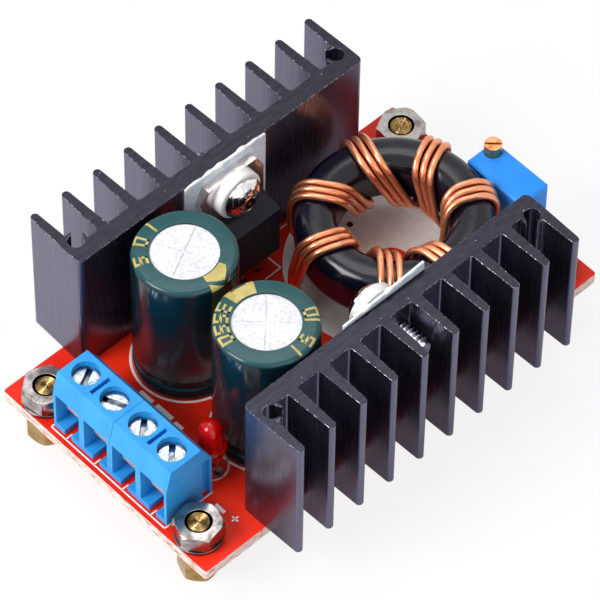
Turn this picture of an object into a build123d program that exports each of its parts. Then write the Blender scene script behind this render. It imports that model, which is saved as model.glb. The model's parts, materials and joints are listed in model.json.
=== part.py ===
from build123d import *
import math
import os

# A boost converter module: a circuit board on four brass standoffs, with two finned heatsinks,
# two power transistors, two capacitors, a toroid choke, a trimmer, an indicator and two terminal blocks.
# Sizes are in millimetres. X runs along the board, Y across it and Z up.
# The origin is the middle of the four standoffs, on the plane that they stand on.

# Corner fixings
STANDOFF_HEIGHT = 5.0
STANDOFF_FLATS = 4.6
STANDOFF_EDGE = 0.6
THREAD_RADIUS = 1.5
THREAD_CORE_RADIUS = 1.25
THREAD_DEPTH = 4.0
THREAD_SLACK = 0.04
SCREW_HOLE_RADIUS = 1.6
STUD_REACH = 2.7
STUD_DOME = 0.35
WASHER_RADIUS = 3.0
WASHER_THICKNESS = 0.5
NUT_FLATS = 5.5
NUT_THICKNESS = 2.4
NUT_EDGE = 0.3
NUT_TURNS = (38.0, 25.0, 10.0, 50.0)
FIXING_INSET_X = 3.0
FIXING_INSET_Y = 4.5

# Capacitors
CAPACITOR_RADIUS = 6.5
CAPACITOR_HEIGHT = 20.9
SLEEVE_WALL = 0.18
SLEEVE_SLACK = 0.02
SLEEVE_LIP = 2.3
CAN_SHOULDER = 0.7
BEAD_HEIGHT = 2.6
BEAD_DEPTH = 0.5
BEAD_SPAN = 1.6
CAN_LIFT = 0.3
BUNG_RADIUS = 5.0
BUNG_THICKNESS = 0.9
VENT_LENGTH = 7.2
VENT_WIDTH = 0.3
VENT_DEPTH = 0.12
VENT_TURNS = {"input": 27.5, "output": 45.0}
CAPACITOR_LEAD_RADIUS = 0.4
CAPACITOR_LEAD_PITCH = 5.0
REAR_CAPACITOR_GAP = 0.75
MIDDLE_CAPACITOR_GAP = 1.1
FRONT_CAPACITOR_GAP = 0.15
CAPACITOR_FROM_TAB = 1.5

# Heatsinks
HEATSINK_LENGTH = 46.0
HEATSINK_DEPTH = 9.4
HEATSINK_HEIGHT = 20.4
HEATSINK_BASE = 2.4
HEATSINK_CORNER = 0.8
FIN_COUNT = 10
FIN_ROOT = 1.5
FIN_TIP = 1.1
FIN_FILLET = 0.4
CHANNEL_RADIUS = 1.0
CHANNEL_WALL = 0.45
CHANNEL_MOUTH = 1.3
CHANNEL_FROM_FIN = 0.4
CHANNEL_FROM_BASE = 0.5

# Power transistors, their insulating pads and their screws
FIXING_SCREW_HEIGHT = 16.15
PAD_WIDTH = 13.0
PAD_HEIGHT = 18.0
PAD_THICKNESS = 0.3
REAR_PAD_ABOVE_SCREW = 4.05
FRONT_PAD_ABOVE_SCREW = 5.15
FRONT_PAD_TILT = 4.5
TAB_WIDTH = 10.0
TAB_HEIGHT = 15.6
TAB_THICKNESS = 1.3
TAB_ABOVE_SCREW = 2.8
TAB_CORNER_WIDTH = 1.1
TAB_CORNER_HEIGHT = 2.2
TAB_HOLE_RADIUS = 1.85
PACKAGE_HEIGHT = 9.3
PACKAGE_DEPTH = 3.2
PACKAGE_BEVEL_DEPTH = 2.0
PACKAGE_BEVEL_HEIGHT = 1.3
PACKAGE_CORNER = 0.9
PACKAGE_DRAFT = 5.0
LEAD_PITCH = 2.54
LEAD_WIDTH = 0.8
LEAD_SHOULDER_WIDTH = 1.3
LEAD_SHOULDER_REACH = 1.0
LEAD_THICKNESS = 0.5
LEAD_FROM_PACKAGE_FRONT = 1.65
LEAD_UNDER_BOARD = 1.2
BUSHING_RADIUS = 3.3
BUSHING_THICKNESS = 1.4
BUSHING_EDGE = 0.3
BUSHING_COLLAR_LENGTH = 1.0
BUSHING_SLACK = 0.05
SCREW_HEAD_RADIUS = 2.8
SCREW_HEAD_SIDE = 0.35
SCREW_HEAD_DOME = 1.1
RECESS_LENGTH = 2.8
RECESS_WIDTH = 0.6
RECESS_DEPTH = 1.2
REAR_SCREW_LENGTH = 7.6
FRONT_SCREW_LENGTH = 9.4
SCREW_POINT = 0.3

# Choke
CORE_OUTER_RADIUS = 12.2
CORE_INNER_RADIUS = 6.82
CORE_HEIGHT = 7.6
CORE_EDGE = 2.3
CORE_EDGE_MOST = 0.45
CORE_LIFT = 4.0
CORE_Y = -0.21
CHOKE_FROM_MIDDLE = 1.81
WIRE_RADIUS = 0.43
WIRE_PITCH = 1.12
WIRE_SEAT = 0.05
WIRE_FROM_HEATSINK = 0.4
STRAND_COUNT = 3
OUTER_ANGLES = (168.0, 123.5, 70.9, 20.0, -28.0, -94.0, -136.0, -190.0)
INNER_ANGLES = (178.0, 121.2, 69.5, 17.4, -31.0, -103.0, -140.5)
INNER_WALL_SHARES = (0.72, 0.85, 0.75, 0.65, 0.76, 0.75, 0.75)
START_ANGLE = 158.0
START_STEP_OUT = 0.3
SLOT_CLEARANCE = 0.15

# Indicator
LED_RADIUS = 1.5
LED_FLANGE_RADIUS = 1.9
LED_FLANGE_THICKNESS = 1.0
LED_FLAT = 1.6
LED_LIFT = 3.5
LED_HEIGHT = 5.3
LED_Y = -7.17
LED_LEAD_SIZE = 0.5
LED_FROM_CAPACITOR = 2.2

# Terminal blocks, each with two poles
POLE_PITCH = 5.0
BLOCK_DEPTH = 7.25
BLOCK_HEIGHT = 10.0
BLOCK_SLOPE_RUN = 0.83
BLOCK_SLOPE_DROP = 3.4
BLOCK_BACK_RUN = 1.67
BLOCK_BACK_DROP = 2.9
BLOCK_DIVIDER = 0.9
BLOCK_SILL = 0.9
BLOCK_SILL_GAP = 1.16
BLOCK_SEAM = 0.04
BLOCK_FROM_LED = 2.45
CHAMBER_FRONT = 0.75
CHAMBER_BACK = 1.2
DRIVER_HOLE_RADIUS = 1.775
MARK_LENGTH = 3.0
MARK_WIDTH = 0.5
MARK_DEPTH = 1.2
RIB_WIDTH = 0.9
RIB_HEIGHT = 0.5
RIB_SLACK = 0.1
RIB_FROM_BACK = 0.9
CLAMP_FROM_FRONT = 3.22
CLAMP_HEAD_RADIUS = 1.7
CLAMP_HEAD_HEIGHT = 1.3
CLAMP_HEAD_SUNK = 0.9
CLAMP_SHANK_RADIUS = 1.2
CLAMP_SHOULDER = 0.45
CLAMP_SLACK = 0.05
CLAMP_SLOT_WIDTH = 0.8
CLAMP_SLOT_DEPTH = 0.7
CLAMP_SLOT_TURNS = (28.0, -67.0, 41.0, 45.0)
CAGE_WIDTH = 3.9
CAGE_DEPTH = 3.0
CAGE_SIDE = 0.45
CAGE_FLOOR = 0.5
CAGE_TOP = 0.8
CAGE_WINDOW = 2.6
CAGE_OPEN_GAP = 0.9
TONGUE_HEIGHT = 3.9
TONGUE_THICKNESS = 0.6
TONGUE_WIDTH = 2.6
TONGUE_FROM_FRONT = 1.0
CONTACT_LEG_THICKNESS = 0.6
CONTACT_LEG_GAP = 0.25
CONTACT_PIN_WIDTH = 1.0

# Trimmer
TRIMMER_WIDTH = 4.8
TRIMMER_LENGTH = 9.5
TRIMMER_HEIGHT = 10.0
TRIMMER_EDGE = 0.25
TRIMMER_FOOT = 0.4
TRIMMER_FOOT_LENGTH = 1.4
TRIMMER_FROM_CORE = 0.18
TRIMMER_END_Y = 0.0
TRIMMER_SCREW_RADIUS = 1.1
TRIMMER_SCREW_PROUD = 1.5
TRIMMER_SCREW_SUNK = 2.0
TRIMMER_SCREW_INSET_X = 1.4
TRIMMER_SCREW_INSET_Y = 1.15
TRIMMER_SLOT_WIDTH = 0.3
TRIMMER_SLOT_DEPTH = 0.5
TRIMMER_SLOT_TURN = -44.0
TRIMMER_PIN_RADIUS = 0.25

# Board
BOARD_THICKNESS = 1.6
BOARD_CORNER = 0.4
BOARD_BEYOND_HEATSINK_FACE = 4.0
BOARD_BEYOND_BLOCK = 1.1
BOARD_BEYOND_TRIMMER = 0.4
LEAD_HOLE_SLACK = 0.12
VIA_RADIUS = 0.4
VIAS = ((15.57, 8.05), (23.86, 4.89))

# Underside of the board
SOLDER_SPREAD = 0.75
SOLDER_TIP_SPREAD = 0.2
SOLDER_HEIGHT = 0.9
SOLDER_TAPER = 25.0
CHIP_LENGTH = 4.9
CHIP_WIDTH = 3.9
CHIP_THICKNESS = 1.5
CHIP_LIFT = 0.1
CHIP_X = -6.0
CHIP_Y = -0.5
CHIP_LEG_PITCH = 1.27
CHIP_LEG_WIDTH = 0.42
CHIP_LEG_REACH = 1.05
CHIP_LEG_THICKNESS = 0.2
CHIP_LEG_DROP = 0.75
SMALL_LENGTH = 2.0
SMALL_WIDTH = 1.25
RESISTOR_THICKNESS = 0.5
SMALL_CAPACITOR_THICKNESS = 0.9
CAP_SHARE = 0.2
RESISTORS = ((-12.0, -1.0, 90.0), (-9.5, 5.0, 0.0), (-2.0, 4.5, 0.0), (-1.0, -5.0, 90.0))
SMALL_CAPACITORS = ((-6.0, 5.0, 0.0), (-6.0, -6.0, 0.0), (0.8, -0.5, 90.0))
CORNER_PART_Y = -12.5
CORNER_RESISTOR_FROM_EDGE = 12.0
CORNER_CAPACITOR_FROM_EDGE = 8.5

# Places that follow from the sizes
BOARD_TOP = STANDOFF_HEIGHT + BOARD_THICKNESS
CAPACITOR_STACK = REAR_CAPACITOR_GAP + MIDDLE_CAPACITOR_GAP + FRONT_CAPACITOR_GAP
CHOKE_REACH = CORE_OUTER_RADIUS + 2 * WIRE_RADIUS + WIRE_SEAT
CORE_ROUNDING = min(CORE_EDGE, CORE_EDGE_MOST * min(CORE_OUTER_RADIUS - CORE_INNER_RADIUS, CORE_HEIGHT))
CHOKE_ROOM = CHOKE_REACH + abs(CORE_Y) + WIRE_FROM_HEATSINK
HEATSINK_FACE = max(2 * CAPACITOR_RADIUS + CAPACITOR_STACK / 2, CHOKE_ROOM)
CAPACITOR_Y = {
    "input": HEATSINK_FACE - REAR_CAPACITOR_GAP - CAPACITOR_RADIUS,
    "output": FRONT_CAPACITOR_GAP + CAPACITOR_RADIUS - HEATSINK_FACE,
}
CAPACITOR_X = -(TAB_WIDTH / 2 + CAPACITOR_FROM_TAB + CAPACITOR_RADIUS)
LED_X = CAPACITOR_X - CAPACITOR_RADIUS - LED_FROM_CAPACITOR
BLOCK_BACK_X = LED_X - BLOCK_FROM_LED
BLOCK_FRONT_X = BLOCK_BACK_X - BLOCK_DEPTH
CLAMP_X = BLOCK_FRONT_X + CLAMP_FROM_FRONT
WIRE_OFFSET = WIRE_RADIUS + WIRE_SEAT
CORE_X = CHOKE_FROM_MIDDLE + CHOKE_REACH
TRIMMER_LEFT = CORE_X + CORE_OUTER_RADIUS + TRIMMER_FROM_CORE
TRIMMER_X = TRIMMER_LEFT + TRIMMER_WIDTH / 2
TRIMMER_Y = TRIMMER_END_Y - TRIMMER_LENGTH / 2
BOARD_LEFT = BLOCK_FRONT_X - BOARD_BEYOND_BLOCK
BOARD_RIGHT = TRIMMER_LEFT + TRIMMER_WIDTH + BOARD_BEYOND_TRIMMER
BOARD_LENGTH = BOARD_RIGHT - BOARD_LEFT
BOARD_MIDDLE = (BOARD_RIGHT + BOARD_LEFT) / 2
TERMINAL_ROOM = 2 * POLE_PITCH + RIB_HEIGHT + WASHER_RADIUS + FIXING_INSET_Y
BOARD_WIDTH = 2 * max(HEATSINK_FACE + BOARD_BEYOND_HEATSINK_FACE, TERMINAL_ROOM)
TAB_BACK = HEATSINK_FACE - PAD_THICKNESS
TAB_FRONT = TAB_BACK - TAB_THICKNESS
PACKAGE_FRONT = TAB_FRONT - PACKAGE_DEPTH
PACKAGE_BOTTOM = FIXING_SCREW_HEIGHT + TAB_ABOVE_SCREW - TAB_HEIGHT
DEVICE_LEAD_Y = PACKAGE_FRONT + LEAD_FROM_PACKAGE_FRONT
LEAD_BOTTOM = STANDOFF_HEIGHT - LEAD_UNDER_BOARD
CLAMP_HEAD_TOP = BLOCK_HEIGHT - CLAMP_HEAD_SUNK
CLAMP_HEAD_BOTTOM = CLAMP_HEAD_TOP - CLAMP_HEAD_HEIGHT
CHAMBER_TOP = CLAMP_HEAD_BOTTOM - CLAMP_SHOULDER
CONTACT_LEG_X = CLAMP_X + CAGE_DEPTH / 2 + CONTACT_LEG_GAP + CONTACT_LEG_THICKNESS / 2
TRIMMER_SCREW_X = TRIMMER_LEFT + TRIMMER_WIDTH - TRIMMER_SCREW_INSET_X
TRIMMER_SCREW_Y = TRIMMER_END_Y - TRIMMER_SCREW_INSET_Y

TINY = 1e-4
FROM_BELOW = (Align.CENTER, Align.CENTER, Align.MIN)
FROM_ABOVE = (Align.CENTER, Align.CENTER, Align.MAX)


def rod(radius, low, high, x=0.0, y=0.0):
    """An upright cylinder between two heights."""
    return Pos(x, y, low) * Cylinder(radius, high - low, align=FROM_BELOW)


def block(width, depth, low, high, x=0.0, y=0.0):
    """An upright box between two heights, centred on x and y."""
    return Pos(x, y, low) * Box(width, depth, high - low, align=FROM_BELOW)


def to_rear(shape):
    """Turns a shape built along +Z so that it points along +Y."""
    return Rot(-90, 0, 0) * shape


def to_front(shape):
    """The mirror image of a rear piece, on the front side of the board."""
    return mirror(shape, about=Plane.XZ)


def group(solids):
    return Compound(children=[solid for shape in solids for solid in shape.solids()])


def turned(outline):
    """A solid of revolution about Z, from an outline in radius and height."""
    return revolve(Plane.XZ * outline, Axis.Z)


def polygon(*points):
    return make_face(Polyline(*points, close=True))


# Corner fixings

def fixing_points():
    """The four corner holes: rear left, rear right, front left, front right."""
    x = BOARD_LENGTH / 2 - FIXING_INSET_X
    y = BOARD_WIDTH / 2 - FIXING_INSET_Y
    return [(BOARD_MIDDLE + sx * x, sy * y) for sy in (1, -1) for sx in (-1, 1)]


def hexagon(flats, height, edge):
    """A hexagon bar whose corners are turned off at both ends."""
    bar = extrude(RegularPolygon(flats / 2, 6, major_radius=False), height)
    blank = rod(flats / 2 / math.cos(math.pi / 6), 0, height)
    blank = chamfer(blank.edges().filter_by(GeomType.CIRCLE), edge)
    return bar & blank


def standoff():
    """A brass hexagon with a threaded foot and a threaded stud with a domed end."""
    body = hexagon(STANDOFF_FLATS, STANDOFF_HEIGHT, STANDOFF_EDGE)
    stud = rod(THREAD_RADIUS - THREAD_SLACK, STANDOFF_HEIGHT, BOARD_TOP + STUD_REACH)
    stud = fillet(stud.edges().filter_by(GeomType.CIRCLE).sort_by(Axis.Z)[-1], STUD_DOME)
    return body + stud - rod(THREAD_CORE_RADIUS, 0, THREAD_DEPTH)


def nut():
    bore = rod(THREAD_RADIUS, 0, NUT_THICKNESS)
    return hexagon(NUT_FLATS, NUT_THICKNESS, NUT_EDGE) - bore


def washer():
    return rod(WASHER_RADIUS, 0, WASHER_THICKNESS) - rod(SCREW_HOLE_RADIUS, 0, WASHER_THICKNESS)


def fixings():
    standoffs, washers, nuts = [], [], []
    for (x, y), turn in zip(fixing_points(), NUT_TURNS):
        standoffs.append(Pos(x, y) * Rot(0, 0, turn) * standoff())
        washers.append(Pos(x, y, BOARD_TOP) * washer())
        nuts.append(Pos(x, y, BOARD_TOP + WASHER_THICKNESS) * Rot(0, 0, turn) * nut())
    return {"standoffs": group(standoffs), "washers": group(washers), "nuts": group(nuts)}


# Heatsinks

def fin_places():
    pitch = (HEATSINK_LENGTH - FIN_ROOT) / (FIN_COUNT - 1)
    return [pitch * (i - (FIN_COUNT - 1) / 2) for i in range(FIN_COUNT)]


def fin(x):
    """One tapered fin with a round tip, rising from inside the base."""
    root, tip = FIN_ROOT / 2, FIN_TIP / 2
    inside, shoulder = HEATSINK_BASE / 2, HEATSINK_DEPTH - tip
    sides = Polyline(
        (x - tip, shoulder), (x - root, HEATSINK_BASE), (x - root, inside),
        (x + root, inside), (x + root, HEATSINK_BASE), (x + tip, shoulder),
    )
    cap = ThreePointArc((x + tip, shoulder), (x, HEATSINK_DEPTH), (x - tip, shoulder))
    return make_face(sides + cap)


def with_channel(profile, side):
    """Adds the round screw channel in one end's corner, open towards the first gap."""
    x = side * (HEATSINK_LENGTH / 2 - FIN_ROOT - CHANNEL_FROM_FIN)
    place = Pos(x, HEATSINK_BASE + CHANNEL_FROM_BASE)
    reach = CHANNEL_RADIUS + 2 * CHANNEL_WALL
    mouth = Rot(0, 0, 90 + 45 * side) * Pos(reach / 2, 0) * Rectangle(reach, CHANNEL_MOUTH)
    ringed = profile + place * Circle(CHANNEL_RADIUS + CHANNEL_WALL)
    return ringed - place * Circle(CHANNEL_RADIUS) - place * mouth


def heatsink_profile():
    """The extrusion's section: base along X, fins along Y, mounting face on Y = 0."""
    profile = Pos(0, HEATSINK_BASE / 2) * Rectangle(HEATSINK_LENGTH, HEATSINK_BASE)
    profile += [fin(x) for x in fin_places()]
    inner_end = HEATSINK_LENGTH / 2 - FIN_ROOT - TINY
    roots = [v for v in profile.vertices() if abs(v.Y - HEATSINK_BASE) < TINY and abs(v.X) < inner_end]
    profile = fillet(roots, FIN_FILLET)
    profile = fillet([v for v in profile.vertices() if abs(v.Y) < TINY], HEATSINK_CORNER)
    return with_channel(with_channel(profile, -1), 1)


def rear_heatsink():
    bar = Pos(0, HEATSINK_FACE, BOARD_TOP) * extrude(heatsink_profile(), HEATSINK_HEIGHT)
    tapped = to_rear(rod(THREAD_RADIUS, 0, HEATSINK_BASE + FIN_FILLET))
    return bar - Pos(0, HEATSINK_FACE, BOARD_TOP + FIXING_SCREW_HEIGHT) * tapped


# Power transistors

def insulating_pad(above_screw, tilt):
    """A thin sheet behind the metal tab, hung on the screw."""
    sheet = Box(PAD_WIDTH, PAD_THICKNESS, PAD_HEIGHT, align=(Align.CENTER, Align.MAX, Align.MAX))
    sheet = Pos(0, 0, above_screw) * sheet
    sheet -= to_rear(rod(SCREW_HOLE_RADIUS, -PAD_THICKNESS, 0))
    return Pos(0, HEATSINK_FACE, BOARD_TOP + FIXING_SCREW_HEIGHT) * Rot(0, -tilt, 0) * sheet


def metal_tab():
    """The plate that bolts to the heatsink, with its top corners cut off."""
    half, top = TAB_WIDTH / 2, TAB_ABOVE_SCREW
    outline = polygon(
        (-half, top - TAB_HEIGHT), (half, top - TAB_HEIGHT), (half, top - TAB_CORNER_HEIGHT),
        (half - TAB_CORNER_WIDTH, top), (TAB_CORNER_WIDTH - half, top), (-half, top - TAB_CORNER_HEIGHT),
    )
    plate = extrude(Plane.XZ * (outline - Circle(TAB_HOLE_RADIUS)), TAB_THICKNESS)
    return Pos(0, TAB_BACK, BOARD_TOP + FIXING_SCREW_HEIGHT) * plate


def package():
    """The moulded body in front of the tab: drafted sides, round top corners and a bevelled top."""
    outline = Rectangle(TAB_WIDTH, PACKAGE_HEIGHT, align=(Align.CENTER, Align.MIN))
    outline = fillet(outline.vertices().group_by(Axis.Y)[-1], PACKAGE_CORNER)
    body = extrude(Plane.XZ * outline, PACKAGE_DEPTH, taper=PACKAGE_DRAFT)
    bevel = polygon(
        (PACKAGE_BEVEL_DEPTH - PACKAGE_DEPTH, PACKAGE_HEIGHT), (-2 * PACKAGE_DEPTH, PACKAGE_HEIGHT),
        (-2 * PACKAGE_DEPTH, PACKAGE_HEIGHT - PACKAGE_BEVEL_HEIGHT),
        (-PACKAGE_DEPTH, PACKAGE_HEIGHT - PACKAGE_BEVEL_HEIGHT),
    )
    body -= extrude(Plane.YZ * bevel, TAB_WIDTH, both=True)
    return Pos(0, TAB_FRONT, BOARD_TOP + PACKAGE_BOTTOM) * body


def device_leads():
    """Three flat leads, wide above the board and narrow through it."""
    wide, slim = LEAD_SHOULDER_WIDTH / 2, LEAD_WIDTH / 2
    top, shoulder = BOARD_TOP + PACKAGE_BOTTOM, BOARD_TOP + LEAD_SHOULDER_REACH
    outline = polygon(
        (-wide, top), (-wide, shoulder), (-slim, shoulder), (-slim, LEAD_BOTTOM),
        (slim, LEAD_BOTTOM), (slim, shoulder), (wide, shoulder), (wide, top),
    )
    lead = Pos(0, DEVICE_LEAD_Y) * extrude(Plane.XZ * outline, LEAD_THICKNESS / 2, both=True)
    return group([Pos(i * LEAD_PITCH, 0) * lead for i in (-1, 0, 1)])


def pan_head_screw(length):
    """A cross-recess screw along +Y, with its head's seat at the origin."""
    shank, total = THREAD_RADIUS - THREAD_SLACK, SCREW_HEAD_SIDE + SCREW_HEAD_DOME
    slant = math.sin(math.pi / 4)
    middle = (SCREW_HEAD_RADIUS * slant, -SCREW_HEAD_SIDE - SCREW_HEAD_DOME * slant)
    dome = ThreePointArc((0, -total), middle, (SCREW_HEAD_RADIUS, -SCREW_HEAD_SIDE))
    sides = Polyline(
        (SCREW_HEAD_RADIUS, -SCREW_HEAD_SIDE), (SCREW_HEAD_RADIUS, 0), (shank, 0),
        (shank, length - SCREW_POINT), (shank - SCREW_POINT, length), (0, length), (0, -total),
    )
    screw = turned(make_face(dome + sides))
    arm = Box(RECESS_LENGTH, RECESS_WIDTH, RECESS_DEPTH, align=FROM_BELOW)
    cone = Cone(RECESS_LENGTH / 2, RECESS_WIDTH / 2, RECESS_DEPTH, align=FROM_BELOW)
    cross = (arm + Rot(0, 0, 90) * arm) & cone
    return to_rear(screw - Pos(0, 0, -total) * cross)


def placed_screw(length):
    return Pos(0, TAB_FRONT - BUSHING_THICKNESS, BOARD_TOP + FIXING_SCREW_HEIGHT) * pan_head_screw(length)


def bushing():
    """The insulating bushing under the screw's head, with a collar that goes into the tab's hole."""
    flange = rod(BUSHING_RADIUS, -BUSHING_THICKNESS, 0)
    flange = fillet(flange.edges().filter_by(GeomType.CIRCLE).sort_by(Axis.Z)[0], BUSHING_EDGE)
    collar = rod(TAB_HOLE_RADIUS - BUSHING_SLACK, 0, BUSHING_COLLAR_LENGTH)
    bore = rod(THREAD_RADIUS, -BUSHING_THICKNESS, BUSHING_COLLAR_LENGTH)
    return Pos(0, TAB_FRONT, BOARD_TOP + FIXING_SCREW_HEIGHT) * to_rear(flange + collar - bore)


def power_devices():
    return {
        "switch_pad": insulating_pad(REAR_PAD_ABOVE_SCREW, 0),
        "switch_tab": metal_tab(),
        "switch_package": package(),
        "switch_leads": device_leads(),
        "switch_bushing": bushing(),
        "switch_screw": placed_screw(REAR_SCREW_LENGTH),
        "rectifier_pad": to_front(insulating_pad(FRONT_PAD_ABOVE_SCREW, FRONT_PAD_TILT)),
        "rectifier_tab": to_front(metal_tab()),
        "rectifier_package": to_front(package()),
        "rectifier_leads": group([to_front(device_leads())]),
        "rectifier_bushing": to_front(bushing()),
        "rectifier_screw": to_front(placed_screw(FRONT_SCREW_LENGTH)),
    }


# Capacitors

def can_blank(radius, bottom, top):
    """A can with a rolled bead near its foot and a round shoulder."""
    low, high = BEAD_HEIGHT - BEAD_SPAN / 2, BEAD_HEIGHT + BEAD_SPAN / 2
    bead = ThreePointArc((radius, low), (radius - BEAD_DEPTH, BEAD_HEIGHT), (radius, high))
    foot = Polyline((0, bottom), (radius, bottom), (radius, low))
    wall = Polyline((radius, high), (radius, top), (0, top), (0, bottom))
    outline = make_face(foot + bead + wall)
    corner = [v for v in outline.vertices() if v.X > TINY and abs(v.Y - top) < TINY]
    return turned(fillet(corner, CAN_SHOULDER))


def capacitor(name):
    """The can, its printed sleeve, the rubber bung and the two leads, standing on Z = 0."""
    inner = CAPACITOR_RADIUS - SLEEVE_WALL - SLEEVE_SLACK
    can_top = CAPACITOR_HEIGHT - SLEEVE_WALL - SLEEVE_SLACK
    bung_top = CAN_LIFT + BUNG_THICKNESS
    vent = Box(VENT_LENGTH, VENT_WIDTH, VENT_DEPTH, align=FROM_ABOVE)
    vent += Rot(0, 0, 90) * vent
    can = can_blank(inner, CAN_LIFT, can_top) - rod(BUNG_RADIUS, CAN_LIFT, bung_top)
    can -= Pos(0, 0, can_top) * Rot(0, 0, VENT_TURNS[name]) * vent
    sleeve = can_blank(CAPACITOR_RADIUS, CAN_LIFT, CAPACITOR_HEIGHT)
    sleeve -= can_blank(inner + SLEEVE_SLACK, CAN_LIFT, can_top + SLEEVE_SLACK)
    sleeve -= rod(CAPACITOR_RADIUS - SLEEVE_LIP, can_top - CAN_SHOULDER, CAPACITOR_HEIGHT)
    places = capacitor_lead_places()
    hole = CAPACITOR_LEAD_RADIUS + SLEEVE_SLACK
    bung = rod(BUNG_RADIUS - SLEEVE_SLACK, 0, bung_top)
    bung -= [rod(hole, 0, bung_top, x, y) for x, y in places]
    leads = [rod(CAPACITOR_LEAD_RADIUS, LEAD_BOTTOM - BOARD_TOP, bung_top, x, y) for x, y in places]
    return {"can": can, "sleeve": sleeve, "bung": bung, "leads": group(leads)}


def capacitor_lead_places():
    return [(0.0, -CAPACITOR_LEAD_PITCH / 2), (0.0, CAPACITOR_LEAD_PITCH / 2)]


def capacitors():
    pieces = {}
    for name, y in CAPACITOR_Y.items():
        for piece, shape in capacitor(name).items():
            placed = Pos(CAPACITOR_X, y, BOARD_TOP) * shape
            pieces[f"{name}_capacitor_{piece}"] = group([placed]) if piece == "leads" else placed
    return pieces


# Choke

def core():
    """The coated ring core, with round edges."""
    width, middle = CORE_OUTER_RADIUS - CORE_INNER_RADIUS, (CORE_OUTER_RADIUS + CORE_INNER_RADIUS) / 2
    section = Pos(middle, CORE_HEIGHT / 2) * Rectangle(width, CORE_HEIGHT)
    ring = turned(fillet(section.vertices(), CORE_ROUNDING))
    return Pos(CORE_X, CORE_Y, BOARD_TOP + CORE_LIFT) * ring


def ring_point(radius, angle, shift, height):
    """A point beside the core, moved round it by a strand's sideways shift."""
    turn = math.radians(angle) + shift / radius
    return (CORE_X + radius * math.cos(turn), CORE_Y + radius * math.sin(turn), height)


def strand_points(shift):
    """One strand's route: up from the board, seven times round the core, and down inside it."""
    outside, inside = CORE_OUTER_RADIUS + WIRE_OFFSET, CORE_INNER_RADIUS - WIRE_OFFSET
    low, high = BOARD_TOP + CORE_LIFT - WIRE_OFFSET, BOARD_TOP + CORE_LIFT + CORE_HEIGHT + WIRE_OFFSET
    foot = outside + START_STEP_OUT
    points = [ring_point(foot, START_ANGLE, shift, LEAD_BOTTOM), ring_point(foot, START_ANGLE, shift, low)]
    for outer, inner, after, share in zip(OUTER_ANGLES, INNER_ANGLES, OUTER_ANGLES[1:], INNER_WALL_SHARES):
        under = inner + share * (after - inner)
        points.append(ring_point(outside, outer, shift, high))
        points.append(ring_point(inside, inner, shift, high))
        points.append(ring_point(inside, under, shift, low))
        points.append(ring_point(outside, after, shift, low))
    points[-1] = ring_point(inside, under, shift, LEAD_BOTTOM)
    return points


def strand(shift):
    """One enamelled wire, swept along straight runs joined by tangent arcs."""
    route = FilletPolyline(*strand_points(shift), radius=CORE_ROUNDING + WIRE_OFFSET)
    section = Plane(route @ 0, z_dir=route % 0) * Circle(WIRE_RADIUS)
    return sweep(section, path=route)


def strand_shifts():
    return [WIRE_PITCH * (i - (STRAND_COUNT - 1) / 2) for i in range(STRAND_COUNT)]


def choke():
    pieces = {"choke_core": core()}
    for i, shift in enumerate(strand_shifts()):
        pieces[f"choke_strand_{i + 1}"] = strand(shift)
    return pieces


def strand_ends(point_index):
    """The X and Y of the three strands' feet at one end of the winding."""
    return [strand_points(shift)[point_index][:2] for shift in strand_shifts()]


def strand_slot(point_index):
    """The board's slot for the row of strand ends at one end of the winding."""
    ends = strand_ends(point_index)
    (x0, y0), (x1, y1) = ends[0], ends[-1]
    width = 2 * (WIRE_RADIUS + SLOT_CLEARANCE)
    length = math.hypot(x1 - x0, y1 - y0) + width
    turn = math.degrees(math.atan2(y1 - y0, x1 - x0))
    return (x0 + x1) / 2, (y0 + y1) / 2, turn, length, width


# Indicator

def led_lead_places():
    return [(LED_X, LED_Y + side * LEAD_PITCH / 2) for side in (-1, 1)]


def indicator():
    """A clear domed lens with a flange that is flat on one side, on two square leads."""
    tube_top = LED_HEIGHT - LED_RADIUS
    shoulder = Polyline(
        (0, 0), (LED_FLANGE_RADIUS, 0), (LED_FLANGE_RADIUS, LED_FLANGE_THICKNESS),
        (LED_RADIUS, LED_FLANGE_THICKNESS), (LED_RADIUS, tube_top),
    )
    dome = CenterArc((0, tube_top), LED_RADIUS, 0, 90)
    lens = turned(make_face(shoulder + dome + Line((0, LED_HEIGHT), (0, 0))))
    cut_y = -LED_FLAT - LED_FLANGE_RADIUS
    lens -= block(LED_RADIUS, 2 * LED_FLANGE_RADIUS, 0, LED_FLANGE_THICKNESS, 0, cut_y)
    base = BOARD_TOP + LED_LIFT
    leads = [block(LED_LEAD_SIZE, LED_LEAD_SIZE, LEAD_BOTTOM, base, x, y) for x, y in led_lead_places()]
    return {"led_lens": Pos(LED_X, LED_Y, base) * lens, "led_leads": group(leads)}


# Terminal blocks

def pole_places():
    """The four poles' Y places, rear first."""
    return [POLE_PITCH * (1.5 - i) for i in range(4)]


def block_outline():
    """The housing's side view, with X from its front face."""
    return polygon(
        (0, 0), (0, BLOCK_HEIGHT - BLOCK_SLOPE_DROP), (BLOCK_SLOPE_RUN, BLOCK_HEIGHT),
        (BLOCK_DEPTH - BLOCK_BACK_RUN, BLOCK_HEIGHT), (BLOCK_DEPTH, BLOCK_HEIGHT - BLOCK_BACK_DROP),
        (BLOCK_DEPTH, 0),
    )


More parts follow.
